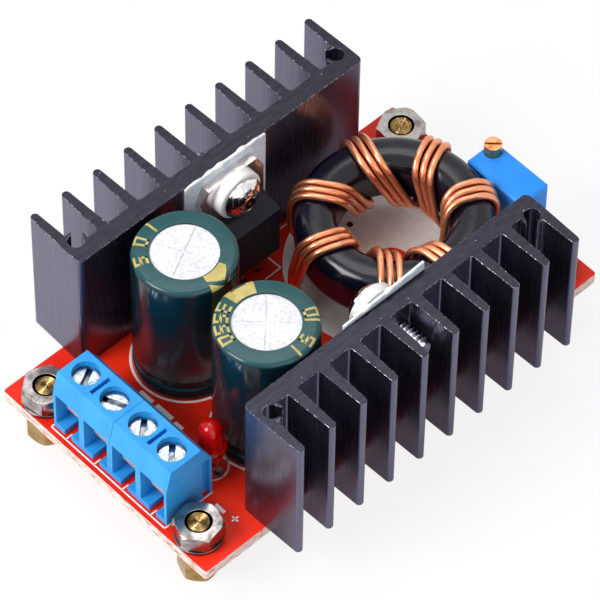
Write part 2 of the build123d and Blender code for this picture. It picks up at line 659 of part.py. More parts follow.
def pole_cavity():
    """What is hollow at one pole, with X from the housing's front face and Y from the pole's middle."""
    width = POLE_PITCH - BLOCK_DIVIDER
    chamber_end = BLOCK_DEPTH - CHAMBER_BACK
    opening_top = BLOCK_HEIGHT - BLOCK_SLOPE_DROP
    middle = (CHAMBER_FRONT + chamber_end) / 2
    mouth = block(2 * CHAMBER_FRONT, width, BLOCK_SILL, opening_top)
    chamber = block(chamber_end - CHAMBER_FRONT, width, BLOCK_SILL, CHAMBER_TOP, middle)
    gap = block(2 * chamber_end, BLOCK_SILL_GAP, 0, BLOCK_SILL)
    driver = rod(DRIVER_HOLE_RADIUS, CLAMP_HEAD_BOTTOM, BLOCK_HEIGHT, CLAMP_FROM_FRONT)
    neck = rod(CLAMP_SHANK_RADIUS + CLAMP_SLACK, CHAMBER_TOP, CLAMP_HEAD_BOTTOM, CLAMP_FROM_FRONT)
    return mouth + chamber + gap + driver + neck


def terminal_housing(y):
    """One two-pole housing about Y = y, with a rib on its rear end and its groove on the other."""
    length = 2 * POLE_PITCH - BLOCK_SEAM
    body = extrude(Plane.XZ * block_outline(), length / 2, both=True)
    for side in (-1, 1):
        body -= Pos(0, side * POLE_PITCH / 2) * pole_cavity()
    body -= block(MARK_LENGTH, MARK_WIDTH, BLOCK_HEIGHT - MARK_DEPTH, BLOCK_HEIGHT, CLAMP_FROM_FRONT)
    rib_x = BLOCK_DEPTH - RIB_FROM_BACK
    rib_top = BLOCK_HEIGHT - BLOCK_BACK_DROP
    groove = 2 * (RIB_HEIGHT + RIB_SLACK)
    body -= block(RIB_WIDTH + 2 * RIB_SLACK, groove, 0, rib_top, rib_x, -length / 2)
    body += block(RIB_WIDTH, RIB_HEIGHT, 0, rib_top - RIB_SLACK, rib_x, (length + RIB_HEIGHT) / 2)
    return Pos(BLOCK_FRONT_X, y, BOARD_TOP) * body


def clamp_screw(turn):
    """A slotted screw whose head is caught above the neck and whose tip stands on the contact."""
    tip = TONGUE_HEIGHT + TONGUE_THICKNESS + CLAMP_SLACK
    screw = rod(CLAMP_HEAD_RADIUS, CLAMP_HEAD_BOTTOM, CLAMP_HEAD_TOP)
    screw += rod(CLAMP_SHANK_RADIUS, tip, CLAMP_HEAD_BOTTOM)
    slot = block(2 * CLAMP_HEAD_RADIUS, CLAMP_SLOT_WIDTH, CLAMP_HEAD_TOP - CLAMP_SLOT_DEPTH, CLAMP_HEAD_TOP)
    return screw - Rot(0, 0, turn) * slot


def cage():
    """The cage that rises as its screw is turned, open at the front and back."""
    window_low = TONGUE_HEIGHT - CAGE_OPEN_GAP
    window_high = window_low + CAGE_WINDOW
    low, high = window_low - CAGE_FLOOR, window_high + CAGE_TOP
    body = block(CAGE_DEPTH, CAGE_WIDTH, low, high)
    body -= block(2 * CAGE_DEPTH, CAGE_WIDTH - 2 * CAGE_SIDE, window_low, window_high)
    return body - rod(CLAMP_SHANK_RADIUS + CLAMP_SLACK, window_high, high)


def contact():
    """A bent strip: the tongue through the cage, its leg behind the cage, and the pin."""
    start = TONGUE_FROM_FRONT - CLAMP_FROM_FRONT
    leg, half = CONTACT_LEG_X - CLAMP_X, CONTACT_LEG_THICKNESS / 2
    top = TONGUE_HEIGHT + TONGUE_THICKNESS
    strip = polygon(
        (start, TONGUE_HEIGHT), (start, top), (leg + half, top),
        (leg + half, BLOCK_SILL), (leg - half, BLOCK_SILL), (leg - half, TONGUE_HEIGHT),
    )
    bent = extrude(Plane.XZ * strip, TONGUE_WIDTH / 2, both=True)
    pin = block(CONTACT_LEG_THICKNESS, CONTACT_PIN_WIDTH, LEAD_BOTTOM - BOARD_TOP, BLOCK_SILL, leg)
    return bent + pin


def terminals():
    """The two housings, and each pole's screw, cage and contact."""
    places = [Pos(CLAMP_X, y, BOARD_TOP) for y in pole_places()]
    contacts = [place * contact() for place in places]
    pieces = {
        "input_terminal_housing": terminal_housing(POLE_PITCH),
        "output_terminal_housing": terminal_housing(-POLE_PITCH),
        "input_contacts": group(contacts[:2]),
        "output_contacts": group(contacts[2:]),
    }
    for i, (place, turn) in enumerate(zip(places, CLAMP_SLOT_TURNS)):
        pieces[f"clamp_screw_{i + 1}"] = place * clamp_screw(turn)
        pieces[f"clamp_cage_{i + 1}"] = place * cage()
    return pieces


# Trimmer

def trimmer_pin_places():
    return [(TRIMMER_X, TRIMMER_Y + i * LEAD_PITCH) for i in (-1, 0, 1)]


def trimmer():
    """A box on two feet, with a slotted brass screw in a bore near one corner."""
    bore = TRIMMER_SCREW_RADIUS + CLAMP_SLACK
    floor = TRIMMER_HEIGHT - TRIMMER_SCREW_SUNK
    case = block(TRIMMER_WIDTH, TRIMMER_LENGTH, TRIMMER_FOOT, TRIMMER_HEIGHT, TRIMMER_X, TRIMMER_Y)
    case = chamfer(case.edges().filter_by(Axis.Z) + case.faces().sort_by(Axis.Z)[-1].edges(), TRIMMER_EDGE)
    foot_y = (TRIMMER_LENGTH - TRIMMER_FOOT_LENGTH) / 2 - TRIMMER_EDGE
    foot_width = TRIMMER_WIDTH - 2 * TRIMMER_EDGE
    for side in (-1, 1):
        case += block(foot_width, TRIMMER_FOOT_LENGTH, 0, TRIMMER_FOOT, TRIMMER_X, TRIMMER_Y + side * foot_y)
    case -= rod(bore, floor, TRIMMER_HEIGHT, TRIMMER_SCREW_X, TRIMMER_SCREW_Y)
    top = TRIMMER_HEIGHT + TRIMMER_SCREW_PROUD
    screw = rod(TRIMMER_SCREW_RADIUS, floor + CLAMP_SLACK, top)
    slot = block(2 * TRIMMER_SCREW_RADIUS, TRIMMER_SLOT_WIDTH, top - TRIMMER_SLOT_DEPTH, top)
    screw -= Rot(0, 0, TRIMMER_SLOT_TURN) * slot
    pin_top = BOARD_TOP + TRIMMER_FOOT
    pins = [rod(TRIMMER_PIN_RADIUS, LEAD_BOTTOM, pin_top, x, y) for x, y in trimmer_pin_places()]
    return {
        "trimmer_case": Pos(0, 0, BOARD_TOP) * case,
        "trimmer_screw": Pos(TRIMMER_SCREW_X, TRIMMER_SCREW_Y, BOARD_TOP) * screw,
        "trimmer_pins": group(pins),
    }


# Board, its holes and what is soldered under it

def lead_holes():
    """Every round lead hole: x, y, and the radius that its lead needs."""
    device = math.hypot(LEAD_WIDTH, LEAD_THICKNESS) / 2
    contact_pin = math.hypot(CONTACT_LEG_THICKNESS, CONTACT_PIN_WIDTH) / 2
    holes = [(i * LEAD_PITCH, side * DEVICE_LEAD_Y, device) for side in (-1, 1) for i in (-1, 0, 1)]
    for y in CAPACITOR_Y.values():
        holes += [(CAPACITOR_X + dx, y + dy, CAPACITOR_LEAD_RADIUS) for dx, dy in capacitor_lead_places()]
    holes += [(x, y, LED_LEAD_SIZE / math.sqrt(2)) for x, y in led_lead_places()]
    holes += [(CONTACT_LEG_X, y, contact_pin) for y in pole_places()]
    holes += [(x, y, TRIMMER_PIN_RADIUS) for x, y in trimmer_pin_places()]
    return holes


def slot(point_index, margin=0.0):
    """The slot for one end of the winding, as a flat sketch that is wider by a margin on each side."""
    x, y, turn, length, width = strand_slot(point_index)
    return Pos(x, y) * Rot(0, 0, turn) * SlotOverall(length + 2 * margin, width + 2 * margin)


def circuit_board():
    plate = Pos(BOARD_MIDDLE, 0) * RectangleRounded(BOARD_LENGTH, BOARD_WIDTH, BOARD_CORNER)
    plate -= [Pos(x, y) * Circle(SCREW_HOLE_RADIUS) for x, y in fixing_points()]
    plate -= [Pos(x, y) * Circle(radius + LEAD_HOLE_SLACK) for x, y, radius in lead_holes()]
    plate -= [Pos(x, y) * Circle(VIA_RADIUS) for x, y in VIAS]
    plate -= [slot(0), slot(-1)]
    return Pos(0, 0, STANDOFF_HEIGHT) * extrude(plate, BOARD_THICKNESS)


def solder_joint(x, y, radius):
    """A cone of solder under the board, round its lead."""
    spread, tip = radius + SOLDER_SPREAD, radius + SOLDER_TIP_SPREAD
    cone = Pos(x, y, STANDOFF_HEIGHT) * Cone(tip, spread, SOLDER_HEIGHT, align=FROM_ABOVE)
    return cone - rod(radius + SLEEVE_SLACK, STANDOFF_HEIGHT - SOLDER_HEIGHT, STANDOFF_HEIGHT, x, y)


def slot_solder(point_index):
    """The solder under the board that joins one end of the three strands."""
    margin = SOLDER_SPREAD - SLOT_CLEARANCE
    blob = extrude(Pos(0, 0, STANDOFF_HEIGHT) * slot(point_index, margin), -SOLDER_HEIGHT, taper=SOLDER_TAPER)
    low, high = STANDOFF_HEIGHT - SOLDER_HEIGHT, STANDOFF_HEIGHT
    return blob - [rod(WIRE_RADIUS + SLEEVE_SLACK, low, high, x, y) for x, y in strand_ends(point_index)]


def control_chip():
    """The eight-legged controller under the board: its body and its bent legs."""
    face = STANDOFF_HEIGHT
    body = block(CHIP_LENGTH, CHIP_WIDTH, face - CHIP_LIFT - CHIP_THICKNESS, face - CHIP_LIFT, CHIP_X, CHIP_Y)
    edge, half = CHIP_WIDTH / 2, CHIP_LEG_THICKNESS
    leg_outline = polygon(
        (edge, -CHIP_LEG_DROP - half), (edge, -CHIP_LEG_DROP), (edge + CHIP_LEG_REACH / 2, 0),
        (edge + CHIP_LEG_REACH, 0), (edge + CHIP_LEG_REACH, -half), (edge + CHIP_LEG_REACH / 2 + half, -half),
    )
    leg = extrude(Plane.YZ * leg_outline, CHIP_LEG_WIDTH / 2, both=True)
    legs = []
    for i in range(4):
        x = CHIP_X + CHIP_LEG_PITCH * (i - 1.5)
        legs.append(Pos(x, CHIP_Y, face) * leg)
        legs.append(Pos(x, CHIP_Y, face) * mirror(leg, about=Plane.XZ))
    return {"controller_chip": body, "controller_legs": group(legs)}


def small_parts(places, thickness):
    """Small surface parts under the board: their middles and their soldered end caps."""
    end = SMALL_LENGTH * CAP_SHARE
    middles, caps = [], []
    for x, y, turn in places:
        place = Pos(x, y, STANDOFF_HEIGHT) * Rot(0, 0, turn)
        middles.append(place * Box(SMALL_LENGTH - 2 * end, SMALL_WIDTH, thickness, align=FROM_ABOVE))
        for side in (-1, 1):
            cap = Box(end, SMALL_WIDTH, thickness, align=FROM_ABOVE)
            caps.append(place * Pos(side * (SMALL_LENGTH - end) / 2, 0) * cap)
    return middles, caps


def underside():
    corner_resistor = (BOARD_RIGHT - CORNER_RESISTOR_FROM_EDGE, CORNER_PART_Y, 0.0)
    corner_capacitor = (BOARD_RIGHT - CORNER_CAPACITOR_FROM_EDGE, CORNER_PART_Y, 0.0)
    resistors, resistor_caps = small_parts(RESISTORS + (corner_resistor,), RESISTOR_THICKNESS)
    small_places = SMALL_CAPACITORS + (corner_capacitor,)
    capacitors_small, capacitor_caps = small_parts(small_places, SMALL_CAPACITOR_THICKNESS)
    pieces = control_chip()
    pieces["surface_resistors"] = group(resistors)
    pieces["surface_capacitors"] = group(capacitors_small)
    pieces["surface_end_caps"] = group(resistor_caps + capacitor_caps)
    joints = [solder_joint(x, y, radius) for x, y, radius in lead_holes()]
    pieces["solder_joints"] = group(joints + [slot_solder(0), slot_solder(-1)])
    return pieces


def all_pieces():
    heatsink = rear_heatsink()
    pieces = {"circuit_board": circuit_board()}
    pieces["rear_heatsink"] = heatsink
    pieces["front_heatsink"] = to_front(heatsink)
    for made in (fixings, power_devices, capacitors, choke, indicator, terminals, trimmer, underside):
        pieces.update(made())
    return pieces


os.makedirs("parts", exist_ok=True)
for name, shape in all_pieces().items():
    export_step(shape, f"parts/{name}.step")
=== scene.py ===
"""The looks of a boost converter module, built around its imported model."""
import json
import logging
import math
from collections.abc import Callable
from dataclasses import dataclass
from enum import Enum

import bmesh
import bpy
import numpy as np
from mathutils import Matrix, Vector


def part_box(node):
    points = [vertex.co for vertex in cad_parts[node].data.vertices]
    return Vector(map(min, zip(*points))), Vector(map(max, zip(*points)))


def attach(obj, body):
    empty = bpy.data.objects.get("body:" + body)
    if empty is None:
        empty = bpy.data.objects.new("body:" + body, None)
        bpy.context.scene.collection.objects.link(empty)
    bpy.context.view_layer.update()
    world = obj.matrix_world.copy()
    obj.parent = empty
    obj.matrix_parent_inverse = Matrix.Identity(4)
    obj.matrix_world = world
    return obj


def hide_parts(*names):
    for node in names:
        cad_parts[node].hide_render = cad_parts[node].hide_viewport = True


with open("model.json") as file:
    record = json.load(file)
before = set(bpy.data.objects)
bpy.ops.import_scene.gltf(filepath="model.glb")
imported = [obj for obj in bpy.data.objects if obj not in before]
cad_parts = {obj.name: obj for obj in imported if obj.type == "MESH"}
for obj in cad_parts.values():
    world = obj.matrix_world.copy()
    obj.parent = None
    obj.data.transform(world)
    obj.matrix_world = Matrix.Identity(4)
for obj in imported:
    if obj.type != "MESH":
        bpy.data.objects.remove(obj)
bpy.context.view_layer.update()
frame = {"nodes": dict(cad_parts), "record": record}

LOG = logging.getLogger("converter")
MM = 0.001
MODULE = "module"
BOARD_TOP = 6.6
SHARP_OVER = 30
Rgba = tuple[float, float, float, float]
Triple = tuple[float, float, float]
Solid = tuple[np.ndarray, list]
Reshape = Callable[[np.ndarray], np.ndarray]
Socket = bpy.types.NodeSocket


def srgb(red: int, green: int, blue: int) -> Rgba:
    """Turns a colour of 0 to 255 a channel into a linear one."""
    channels = [value / 255 for value in (red, green, blue)]
    return (*(c / 12.92 if c <= 0.04045 else ((c + 0.055) / 1.055) ** 2.4 for c in channels), 1.0)


# Painted shade: the dark colour that hidden slots and corners of bare metal are darkened towards.
PAINTED_CREVICE_SHADE = srgb(30, 28, 28)


# Shader building

class Shader:
    """One node material under construction, with short ways to add its patterns."""

    def __init__(self, name: str) -> None:
        """Starts a material with a Principled shader and object coordinates.

        Args:
            name: the material's name.
        """
        self.material = bpy.data.materials.new(name)
        self.material.use_nodes = True
        self.tree = self.material.node_tree
        self.tree.nodes.clear()
        self.bsdf = self.tree.nodes.new("ShaderNodeBsdfPrincipled")
        self.output = self.tree.nodes.new("ShaderNodeOutputMaterial")
        self.feed(self.output.inputs["Surface"], self.bsdf.outputs["BSDF"])
        self.place = self.add("TexCoord", {}, "Object")

    def feed(self, socket: Socket, value: object) -> None:
        """Links a socket to an output, or sets its value.

        Args:
            socket: the input.
            value: an output or a plain value.
        """
        if isinstance(value, Socket):
            self.tree.links.new(value, socket)
        else:
            socket.default_value = value

    def add(self, kind: str, inputs: dict, out: int | str = 0, **settings: object) -> Socket:
        """Adds a node.

        Args:
            kind: its type, without the ShaderNode at the start.
            inputs: what feeds its sockets, by name or place.
            out: the name or place of the output that is wanted.
            settings: the node's own properties.

        Returns:
            The output.
        """
        node = self.tree.nodes.new(f"ShaderNode{kind}")
        for name, value in settings.items():
            setattr(node, name, value)
        for socket, value in inputs.items():
            self.feed(node.inputs[socket], value)
        return node.outputs[out]

    def surface(self, **values: object) -> None:
        """Feeds the Principled shader's sockets, with underscores for the spaces in their names."""
        for name, value in values.items():
            self.feed(self.bsdf.inputs[name.replace("_", " ")], value)

    def math(self, operation: str, first: object, second: object = 0.0) -> Socket:
        """Adds a Math node and returns its result."""
        return self.add("Math", {0: first, 1: second}, operation=operation)

    def blend(self, factor: object, first: object, second: object) -> Socket:
        """Mixes two colours by a factor."""
        return self.add("Mix", {"Factor": factor, 6: first, 7: second}, 2, data_type="RGBA")

    def ranged(
        self, value: object, low: float, high: float, to_low: float = 0.0, to_high: float = 1.0,
    ) -> Socket:
        """Maps a value from one range to another, and clamps it there."""
        return self.add("MapRange", dict(enumerate((value, low, high, to_low, to_high))))

    def stretched(self, stretch: Triple) -> Socket:
        """Returns object coordinates scaled along each axis."""
        return self.add("Mapping", {"Vector": self.place, "Scale": stretch})

    def noise(self, size: float, stretch: Triple = (1, 1, 1), detail: float = 3) -> Socket:
        """Adds a noise whose grains are about size millimetres across."""
        inputs = {"Vector": self.stretched(stretch), "Scale": 1 / (size * MM), "Detail": detail}
        return self.add("TexNoise", inputs, "Fac")

    def speckle(self, size: float) -> Socket:
        """Adds a cell pattern and returns the distance to each cell's middle."""
        return self.add("TexVoronoi", {"Vector": self.place, "Scale": 1 / (size * MM)}, "Distance")

    def upright(self) -> Socket:
        """Returns the Z of the surface's own normal."""
        return self.add("SeparateXYZ", {0: self.add("NewGeometry", {}, "True Normal")}, "Z")

    def edges(self, width: float) -> Socket:
        """Finds sharp edges by how far a rounded normal leaves the true one.

        Args:
            width: how wide the rounding is in millimetres.

        Returns:
            A value of 1 near sharp edges.
        """
        bevel = self.add("Bevel", {"Radius": width * MM}, samples=4)
        true = self.add("NewGeometry", {}, "True Normal")
        alike = self.add("VectorMath", {0: bevel, 1: true}, "Value", operation="DOT_PRODUCT")
        return self.ranged(alike, 0.99, 0.85)

    def openness(self, reach: float) -> Socket:
        """Returns 1 where nothing is near within a reach in millimetres, and less in slots and corners."""
        return self.add("AmbientOcclusion", {"Distance": reach * MM}, "AO", samples=6)

    def bump(self, height: object, depth: float, strength: float = 1.0) -> None:
        """Gives the surface a relief of about depth millimetres."""
        inputs = {"Distance": depth * MM, "Strength": strength, "Height": height}
        self.feed(self.bsdf.inputs["Normal"], self.add("Bump", inputs))


class Painted:
    """What all finishes share: a name, and a paint method that lays their patterns on a shader."""
    name: str

    def material(self) -> bpy.types.Material:
        """Builds the node material.

        Returns:
            The material with the finish's own patterns.
        """
        shader = Shader(self.name)
        self.paint(shader)
        return shader.material


@dataclass(frozen=True)
class Finish(Painted):
    """A finish whose colour drifts between two tones, with fine relief.

    Attributes:
        name: the material's name.
        colour: the main colour.
        tone: the colour that a noise mixes in.
        grain: the noise's size in millimetres.
        stretch: how much finer the noise is along each axis.
        metallic: 1 for bare metal.
        gloss: the least and most roughness.
        relief: the depth of the fine relief in millimetres.
        relief_grain: the size of its grains in millimetres.
        coat: the weight of a clear coat.
        specular: the level of plain reflection, 0.5 for most plastics.
    """
    name: str
    colour: Rgba
    tone: Rgba
    grain: float = 1.0
    stretch: Triple = (1, 1, 1)
    metallic: float = 0.0
    gloss: tuple[float, float] = (0.3, 0.45)
    relief: float = 0.01
    relief_grain: float = 0.2
    coat: float = 0.0
    specular: float = 0.5

    def paint(self, shader: Shader) -> None:
        """Lays the two tones, the changing gloss and the relief.

        Args:
            shader: the new material.
        """
        drift = shader.noise(self.grain, self.stretch)
        share = shader.ranged(drift, 0.35, 0.65)
        shader.surface(
            Base_Color=shader.blend(share, self.colour, self.tone), Metallic=self.metallic,
            Roughness=shader.ranged(drift, 0.3, 0.7, *self.gloss), Coat_Weight=self.coat, Coat_Roughness=0.08,
            Specular_IOR_Level=self.specular,
        )
        shader.bump(shader.noise(self.relief_grain, self.stretch), self.relief, 0.5)


@dataclass(frozen=True)
class BoardFinish(Painted):
    """Red solder mask on both faces, and bare laminate on the cut edges."""
    name: str = "solder_mask"
    mask: Rgba = srgb(240, 46, 20)
    mask_tone: Rgba = srgb(226, 36, 14)
    laminate: Rgba = srgb(236, 212, 204)
    laminate_tone: Rgba = srgb(176, 116, 98)

    def paint(self, shader: Shader) -> None:
        """Lays the cloudy mask on the faces and the plies on the edges.

        Args:
            shader: the new material.
        """
        upright = shader.math("ABSOLUTE", shader.upright())
        is_face = shader.math("GREATER_THAN", upright, 0.5)
        cloud = shader.ranged(shader.noise(9.0), 0.35, 0.65)
        plies = shader.ranged(shader.noise(0.5, (0.5, 0.5, 2.0)), 0.48, 0.66)
        face = shader.blend(cloud, self.mask, self.mask_tone)
        edge = shader.blend(plies, self.laminate, self.laminate_tone)
        shader.surface(
            Base_Color=shader.blend(is_face, edge, face), Specular_IOR_Level=0.2,
            Roughness=shader.ranged(shader.noise(0.6), 0.3, 0.7, 0.3, 0.42),
        )
        shader.bump(shader.noise(0.35), 0.01, 0.3)


@dataclass(frozen=True)
class AnodisedFinish(Painted):
    """Black anodised extrusion: draw lines along its sides, saw marks on its cut ends, bright burrs."""
    name: str = "black_anodised"
    side: Rgba = srgb(102, 100, 122)
    side_tone: Rgba = srgb(97, 95, 116)
    cut: Rgba = srgb(47, 46, 55)
    cut_tone: Rgba = srgb(54, 53, 63)
    burr: Rgba = srgb(225, 225, 230)

    def paint(self, shader: Shader) -> None:
        """Lays the draw lines, the saw marks, and the burrs and dust.

        Args:
            shader: the new material.
        """
        is_cut = shader.math("GREATER_THAN", shader.math("ABSOLUTE", shader.upright()), 0.7)
        lines = shader.noise(0.35, (1.0, 1.0, 0.012), 3)
        saw = shader.noise(0.5, (0.3, 1.0, 1.0), 4)
        side = shader.blend(shader.ranged(lines, 0.35, 0.65), self.side, self.side_tone)
        cut = shader.blend(shader.ranged(saw, 0.38, 0.62), self.cut, self.cut_tone)
        specks = shader.math("GREATER_THAN", shader.noise(0.4, (1, 1, 1), 2), 0.55)
        dust = shader.math("LESS_THAN", shader.speckle(1.4), 0.035)
        burrs = shader.math("MAXIMUM", shader.math("MULTIPLY", shader.edges(0.1), specks), dust)
        shader.surface(
            Base_Color=shader.blend(burrs, shader.blend(is_cut, side, cut), self.burr), Metallic=0.96,
            Roughness=shader.ranged(lines, 0.3, 0.7, 0.25, 0.29), Specular_IOR_Level=0.3,
        )
        shader.bump(lines, 0.001, 0.08)


@dataclass(frozen=True)
class CanFinish(Painted):
    """The can's bare top: pale aluminium with a fine sparkling grain and cloudy rolling marks."""
    name: str = "can_aluminium"
    pale: Rgba = srgb(236, 235, 238)
    dark: Rgba = srgb(196, 194, 199)
    cloud: Rgba = srgb(222, 221, 225)

    def paint(self, shader: Shader) -> None:
        """Lays the grain over the cloudy ground.

        Args:
            shader: the new material.
        """
        grain = shader.ranged(shader.speckle(0.15), 0.15, 0.6)
        fleck = shader.math("MULTIPLY", grain, shader.ranged(shader.noise(0.4), 0.4, 0.65))
        cloudy = shader.ranged(shader.noise(2.5, (1.0, 0.4, 1.0)), 0.4, 0.6)
        ground = shader.blend(cloudy, self.pale, self.cloud)
        shader.surface(Base_Color=shader.blend(fleck, ground, self.dark), Metallic=0.25, Roughness=0.5)
        shader.bump(shader.noise(0.12), 0.01, 0.5)


@dataclass(frozen=True)
class SleeveFinish(Painted):
    """Teal shrink film with painted light: its upward-facing top is a lighter teal, and its sides a darker
    teal as painted shade.
    """
    name: str = "sleeve_film"
    top: Rgba = srgb(28, 78, 82)
    side: Rgba = srgb(6, 32, 42)

    def paint(self, shader: Shader) -> None:
        """Lays the two tones of painted light and shade, the glossy skin and the long ripples.

        Args:
            shader: the new material.
        """
        # Painted light: faces turned up take the lighter top teal, and upright sides the darker teal of
        # painted shade.
        painted_light_from_above = shader.ranged(shader.upright(), 0.2, 0.9)
        shader.surface(
            Base_Color=shader.blend(painted_light_from_above, self.side, self.top), Specular_IOR_Level=0.3,
            Roughness=shader.ranged(shader.noise(2.0, (1, 1, 0.3)), 0.3, 0.7, 0.1, 0.24),
        )
        shader.bump(shader.noise(1.1, (1, 1, 0.12)), 0.05, 0.4)


@dataclass(frozen=True)
class MetalFinish(Painted):
    """Bare plated metal: clean tone, fine turning lines and darker spots, and, when its reach is set, painted
    shade in slots and corners.

    Attributes:
        name: the material's name.
        colour: the main colour.
        tone: the colour of the darker spots.
        grain: the spots' size in millimetres.
        gloss: the least and most roughness.
        scratch: the depth of the turning lines in millimetres.
        painted_shade_reach: how far in millimetres the painted shade of slots and corners reaches, or 0.
    """
    name: str
    colour: Rgba
    tone: Rgba
    grain: float = 2.0
    gloss: tuple[float, float] = (0.12, 0.24)
    scratch: float = 0.004
    painted_shade_reach: float = 0.0

    def paint(self, shader: Shader) -> None:
        """Lays the spots, the painted shade in crevices and the turning lines.

        Args:
            shader: the new material.
        """
        drift = shader.noise(self.grain, (1, 1, 1), 2)
        colour = shader.blend(shader.ranged(drift, 0.4, 0.7), self.colour, self.tone)
        # Painted shade: where ambient occlusion finds slots and corners hidden, the colour is darkened
        # towards the crevice shade colour.
        if self.painted_shade_reach:
            lit = shader.ranged(shader.openness(self.painted_shade_reach), 0.35, 0.85)
            colour = shader.blend(lit, PAINTED_CREVICE_SHADE, colour)
        shader.surface(Base_Color=colour, Metallic=1.0, Roughness=shader.ranged(drift, 0.3, 0.7, *self.gloss))
        shader.bump(shader.noise(0.12, (1, 1, 4)), self.scratch, 0.4)


@dataclass(frozen=True)
class ClearFinish(Painted):
    """Clear coloured resin."""
    name: str
    tint: Rgba
    see_through: float = 0.5

    def paint(self, shader: Shader) -> None:
        """Lays the clear tint with a light haze.

        Args:
            shader: the new material.
        """
        haze = shader.ranged(shader.noise(0.8), 0.35, 0.65)
        deep = tuple(0.85 * channel for channel in self.tint[:3]) + (1.0,)
        shader.surface(
            Base_Color=shader.blend(haze, self.tint, deep), Transmission_Weight=self.see_through,
            Roughness=0.06, IOR=1.45, Specular_IOR_Level=0.3,
        )


NAMED_FINISHES = (
    MetalFinish("nickel_steel", srgb(176, 170, 168), srgb(112, 106, 103), 1.3, painted_shade_reach=0.5),
    Finish("bung_rubber", srgb(22, 22, 23), srgb(34, 33, 33), 0.5, gloss=(0.6, 0.8), specular=0.2),
    MetalFinish("tinned_wire", srgb(206, 205, 202), srgb(168, 166, 162), 1.2, (0.2, 0.34)),
    Finish(
        "package_epoxy", srgb(28, 27, 33), srgb(36, 35, 42), 0.5,
        gloss=(0.4, 0.55), relief=0.012, relief_grain=0.12, specular=0.2,
    ),
    MetalFinish("tab_metal", srgb(228, 222, 220), srgb(196, 188, 186), 1.8, (0.18, 0.3)),
    Finish("insulating_silicone", srgb(238, 246, 255), srgb(214, 228, 248), 0.7, gloss=(0.35, 0.5)),
    Finish("white_nylon", srgb(248, 247, 247), srgb(236, 235, 236), 1.2, gloss=(0.3, 0.4), relief=0.006),
    Finish(
        "core_coating", srgb(11, 11, 24), srgb(15, 15, 30), 2.0,
        gloss=(0.12, 0.22), relief=0.015, relief_grain=0.8, specular=0.38,
    ),
    Finish(
        "enamelled_copper", srgb(242, 166, 126), srgb(228, 142, 100), 2.4,
        metallic=0.85, gloss=(0.24, 0.34), relief=0.003, relief_grain=0.5, coat=0.3,
    ),
    ClearFinish("red_lens", srgb(238, 14, 6)),
    Finish(
        "blue_housing", srgb(52, 160, 232), srgb(42, 150, 224), 3.0,
        gloss=(0.32, 0.44), relief=0.008, relief_grain=0.3, specular=0.25,
    ),
    Finish(
        "blue_case", srgb(42, 146, 244), srgb(36, 138, 238), 3.0,
        gloss=(0.34, 0.46), relief=0.008, relief_grain=0.3, specular=0.25,
    ),
    MetalFinish("solder", srgb(206, 206, 204), srgb(172, 172, 170), 0.8, (0.2, 0.42)),
    Finish("chip_resistor", srgb(20, 20, 22), srgb(30, 30, 32), 0.4, specular=0.3),
    Finish("ceramic", srgb(150, 116, 82), srgb(132, 100, 70), 0.4, gloss=(0.4, 0.55)),
    Finish(
        "silk_ink", srgb(246, 240, 238), srgb(236, 228, 226), 0.9,
        gloss=(0.45, 0.6), relief=0.006, relief_grain=0.25,
    ),
    Finish(
        "gold_ink", srgb(202, 184, 112), srgb(178, 160, 88), 0.9,
        gloss=(0.25, 0.4), relief=0.003, specular=0.35,
    ),
    Finish("paste", srgb(247, 247, 248), srgb(232, 232, 235), 0.6, relief=0.03, relief_grain=0.5),
    MetalFinish("screw_chrome", srgb(244, 242, 242), srgb(214, 210, 210), 1.0, (0.06, 0.14), painted_shade_reach=0.9),
    MetalFinish("clamp_head", srgb(192, 202, 212), srgb(112, 124, 138), 0.7, (0.1, 0.24), painted_shade_reach=0.9),
    MetalFinish("dull_steel", srgb(136, 130, 128), srgb(94, 89, 87), 1.2, painted_shade_reach=0.6),
    MetalFinish("copper_brass", srgb(226, 166, 116), srgb(184, 122, 74), 0.9, (0.2, 0.34)),
    # Painted shade of open holes, laid as flat dark discs.
    Finish("hole_painted_shade", srgb(74, 22, 18), srgb(54, 14, 12), 0.4, gloss=(0.3, 0.5), specular=0.2),
)
FINISHES = {
    "board_laminate": BoardFinish(), "black_anodised": AnodisedFinish(),
    "can_aluminium": CanFinish(), "sleeve_film": SleeveFinish(),
    "brass": MetalFinish("turned_brass", srgb(178, 152, 102), srgb(146, 118, 70), 1.2, (0.18, 0.32)),
} | {finish.name: finish for finish in NAMED_FINISHES}
OWN_FINISHES = {"trimmer_screw": "copper_brass", "washers": "dull_steel"}
OWN_FINISHES |= {f"clamp_screw_{index}": "clamp_head" for index in range(1, 5)}
_made: dict[str, bpy.types.Material] = {}


def material_of(slot: str) -> bpy.types.Material:
    """Gets the material of a record slot or of a finish of its own, made once.

    Args:
        slot: the name of either.

    Returns:
        The material.
    """
    if slot not in _made:
        _made[slot] = FINISHES[slot].material()
    return _made[slot]


# Mesh building

def place_piece(piece: bpy.types.Object, body: str, slot: str, finish: str | None = None) -> bpy.types.Object:
    """Gives a new piece its body and its material, which is its record slot's own unless another finish is
    given.

    Args:
        piece: the new object.
        body: the CAD body that it rides on.
        slot: the record's material slot.
        finish: another finish than the slot's own, if any.

    Returns:
        The same object.
    """
    piece.data.materials.clear()
    piece.data.materials.append(material_of(finish or slot))
    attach(piece, body)
    LOG.info("%s rides on %s", piece.name, body)
    return piece


def stand(name: str, data: bpy.types.ID) -> bpy.types.Object:
    """Links a new object with some data to the scene.

    Args:
        name: the object's name.
        data: its mesh, camera or light.

    Returns:
        The new object.
    """
    item = bpy.data.objects.new(name, data)
    bpy.context.scene.collection.objects.link(item)
    return item


def shade(mesh: bpy.types.Mesh, smooth_under: float) -> bpy.types.Mesh:
    """Shades a mesh smooth, but for the edges that turn by more than an angle in degrees.

    Args:
        mesh: the mesh.
        smooth_under: the angle.

    Returns:
        The same mesh.
    """
    mesh.shade_smooth()
    mesh.set_sharp_from_angle(angle=math.radians(smooth_under))
    return mesh


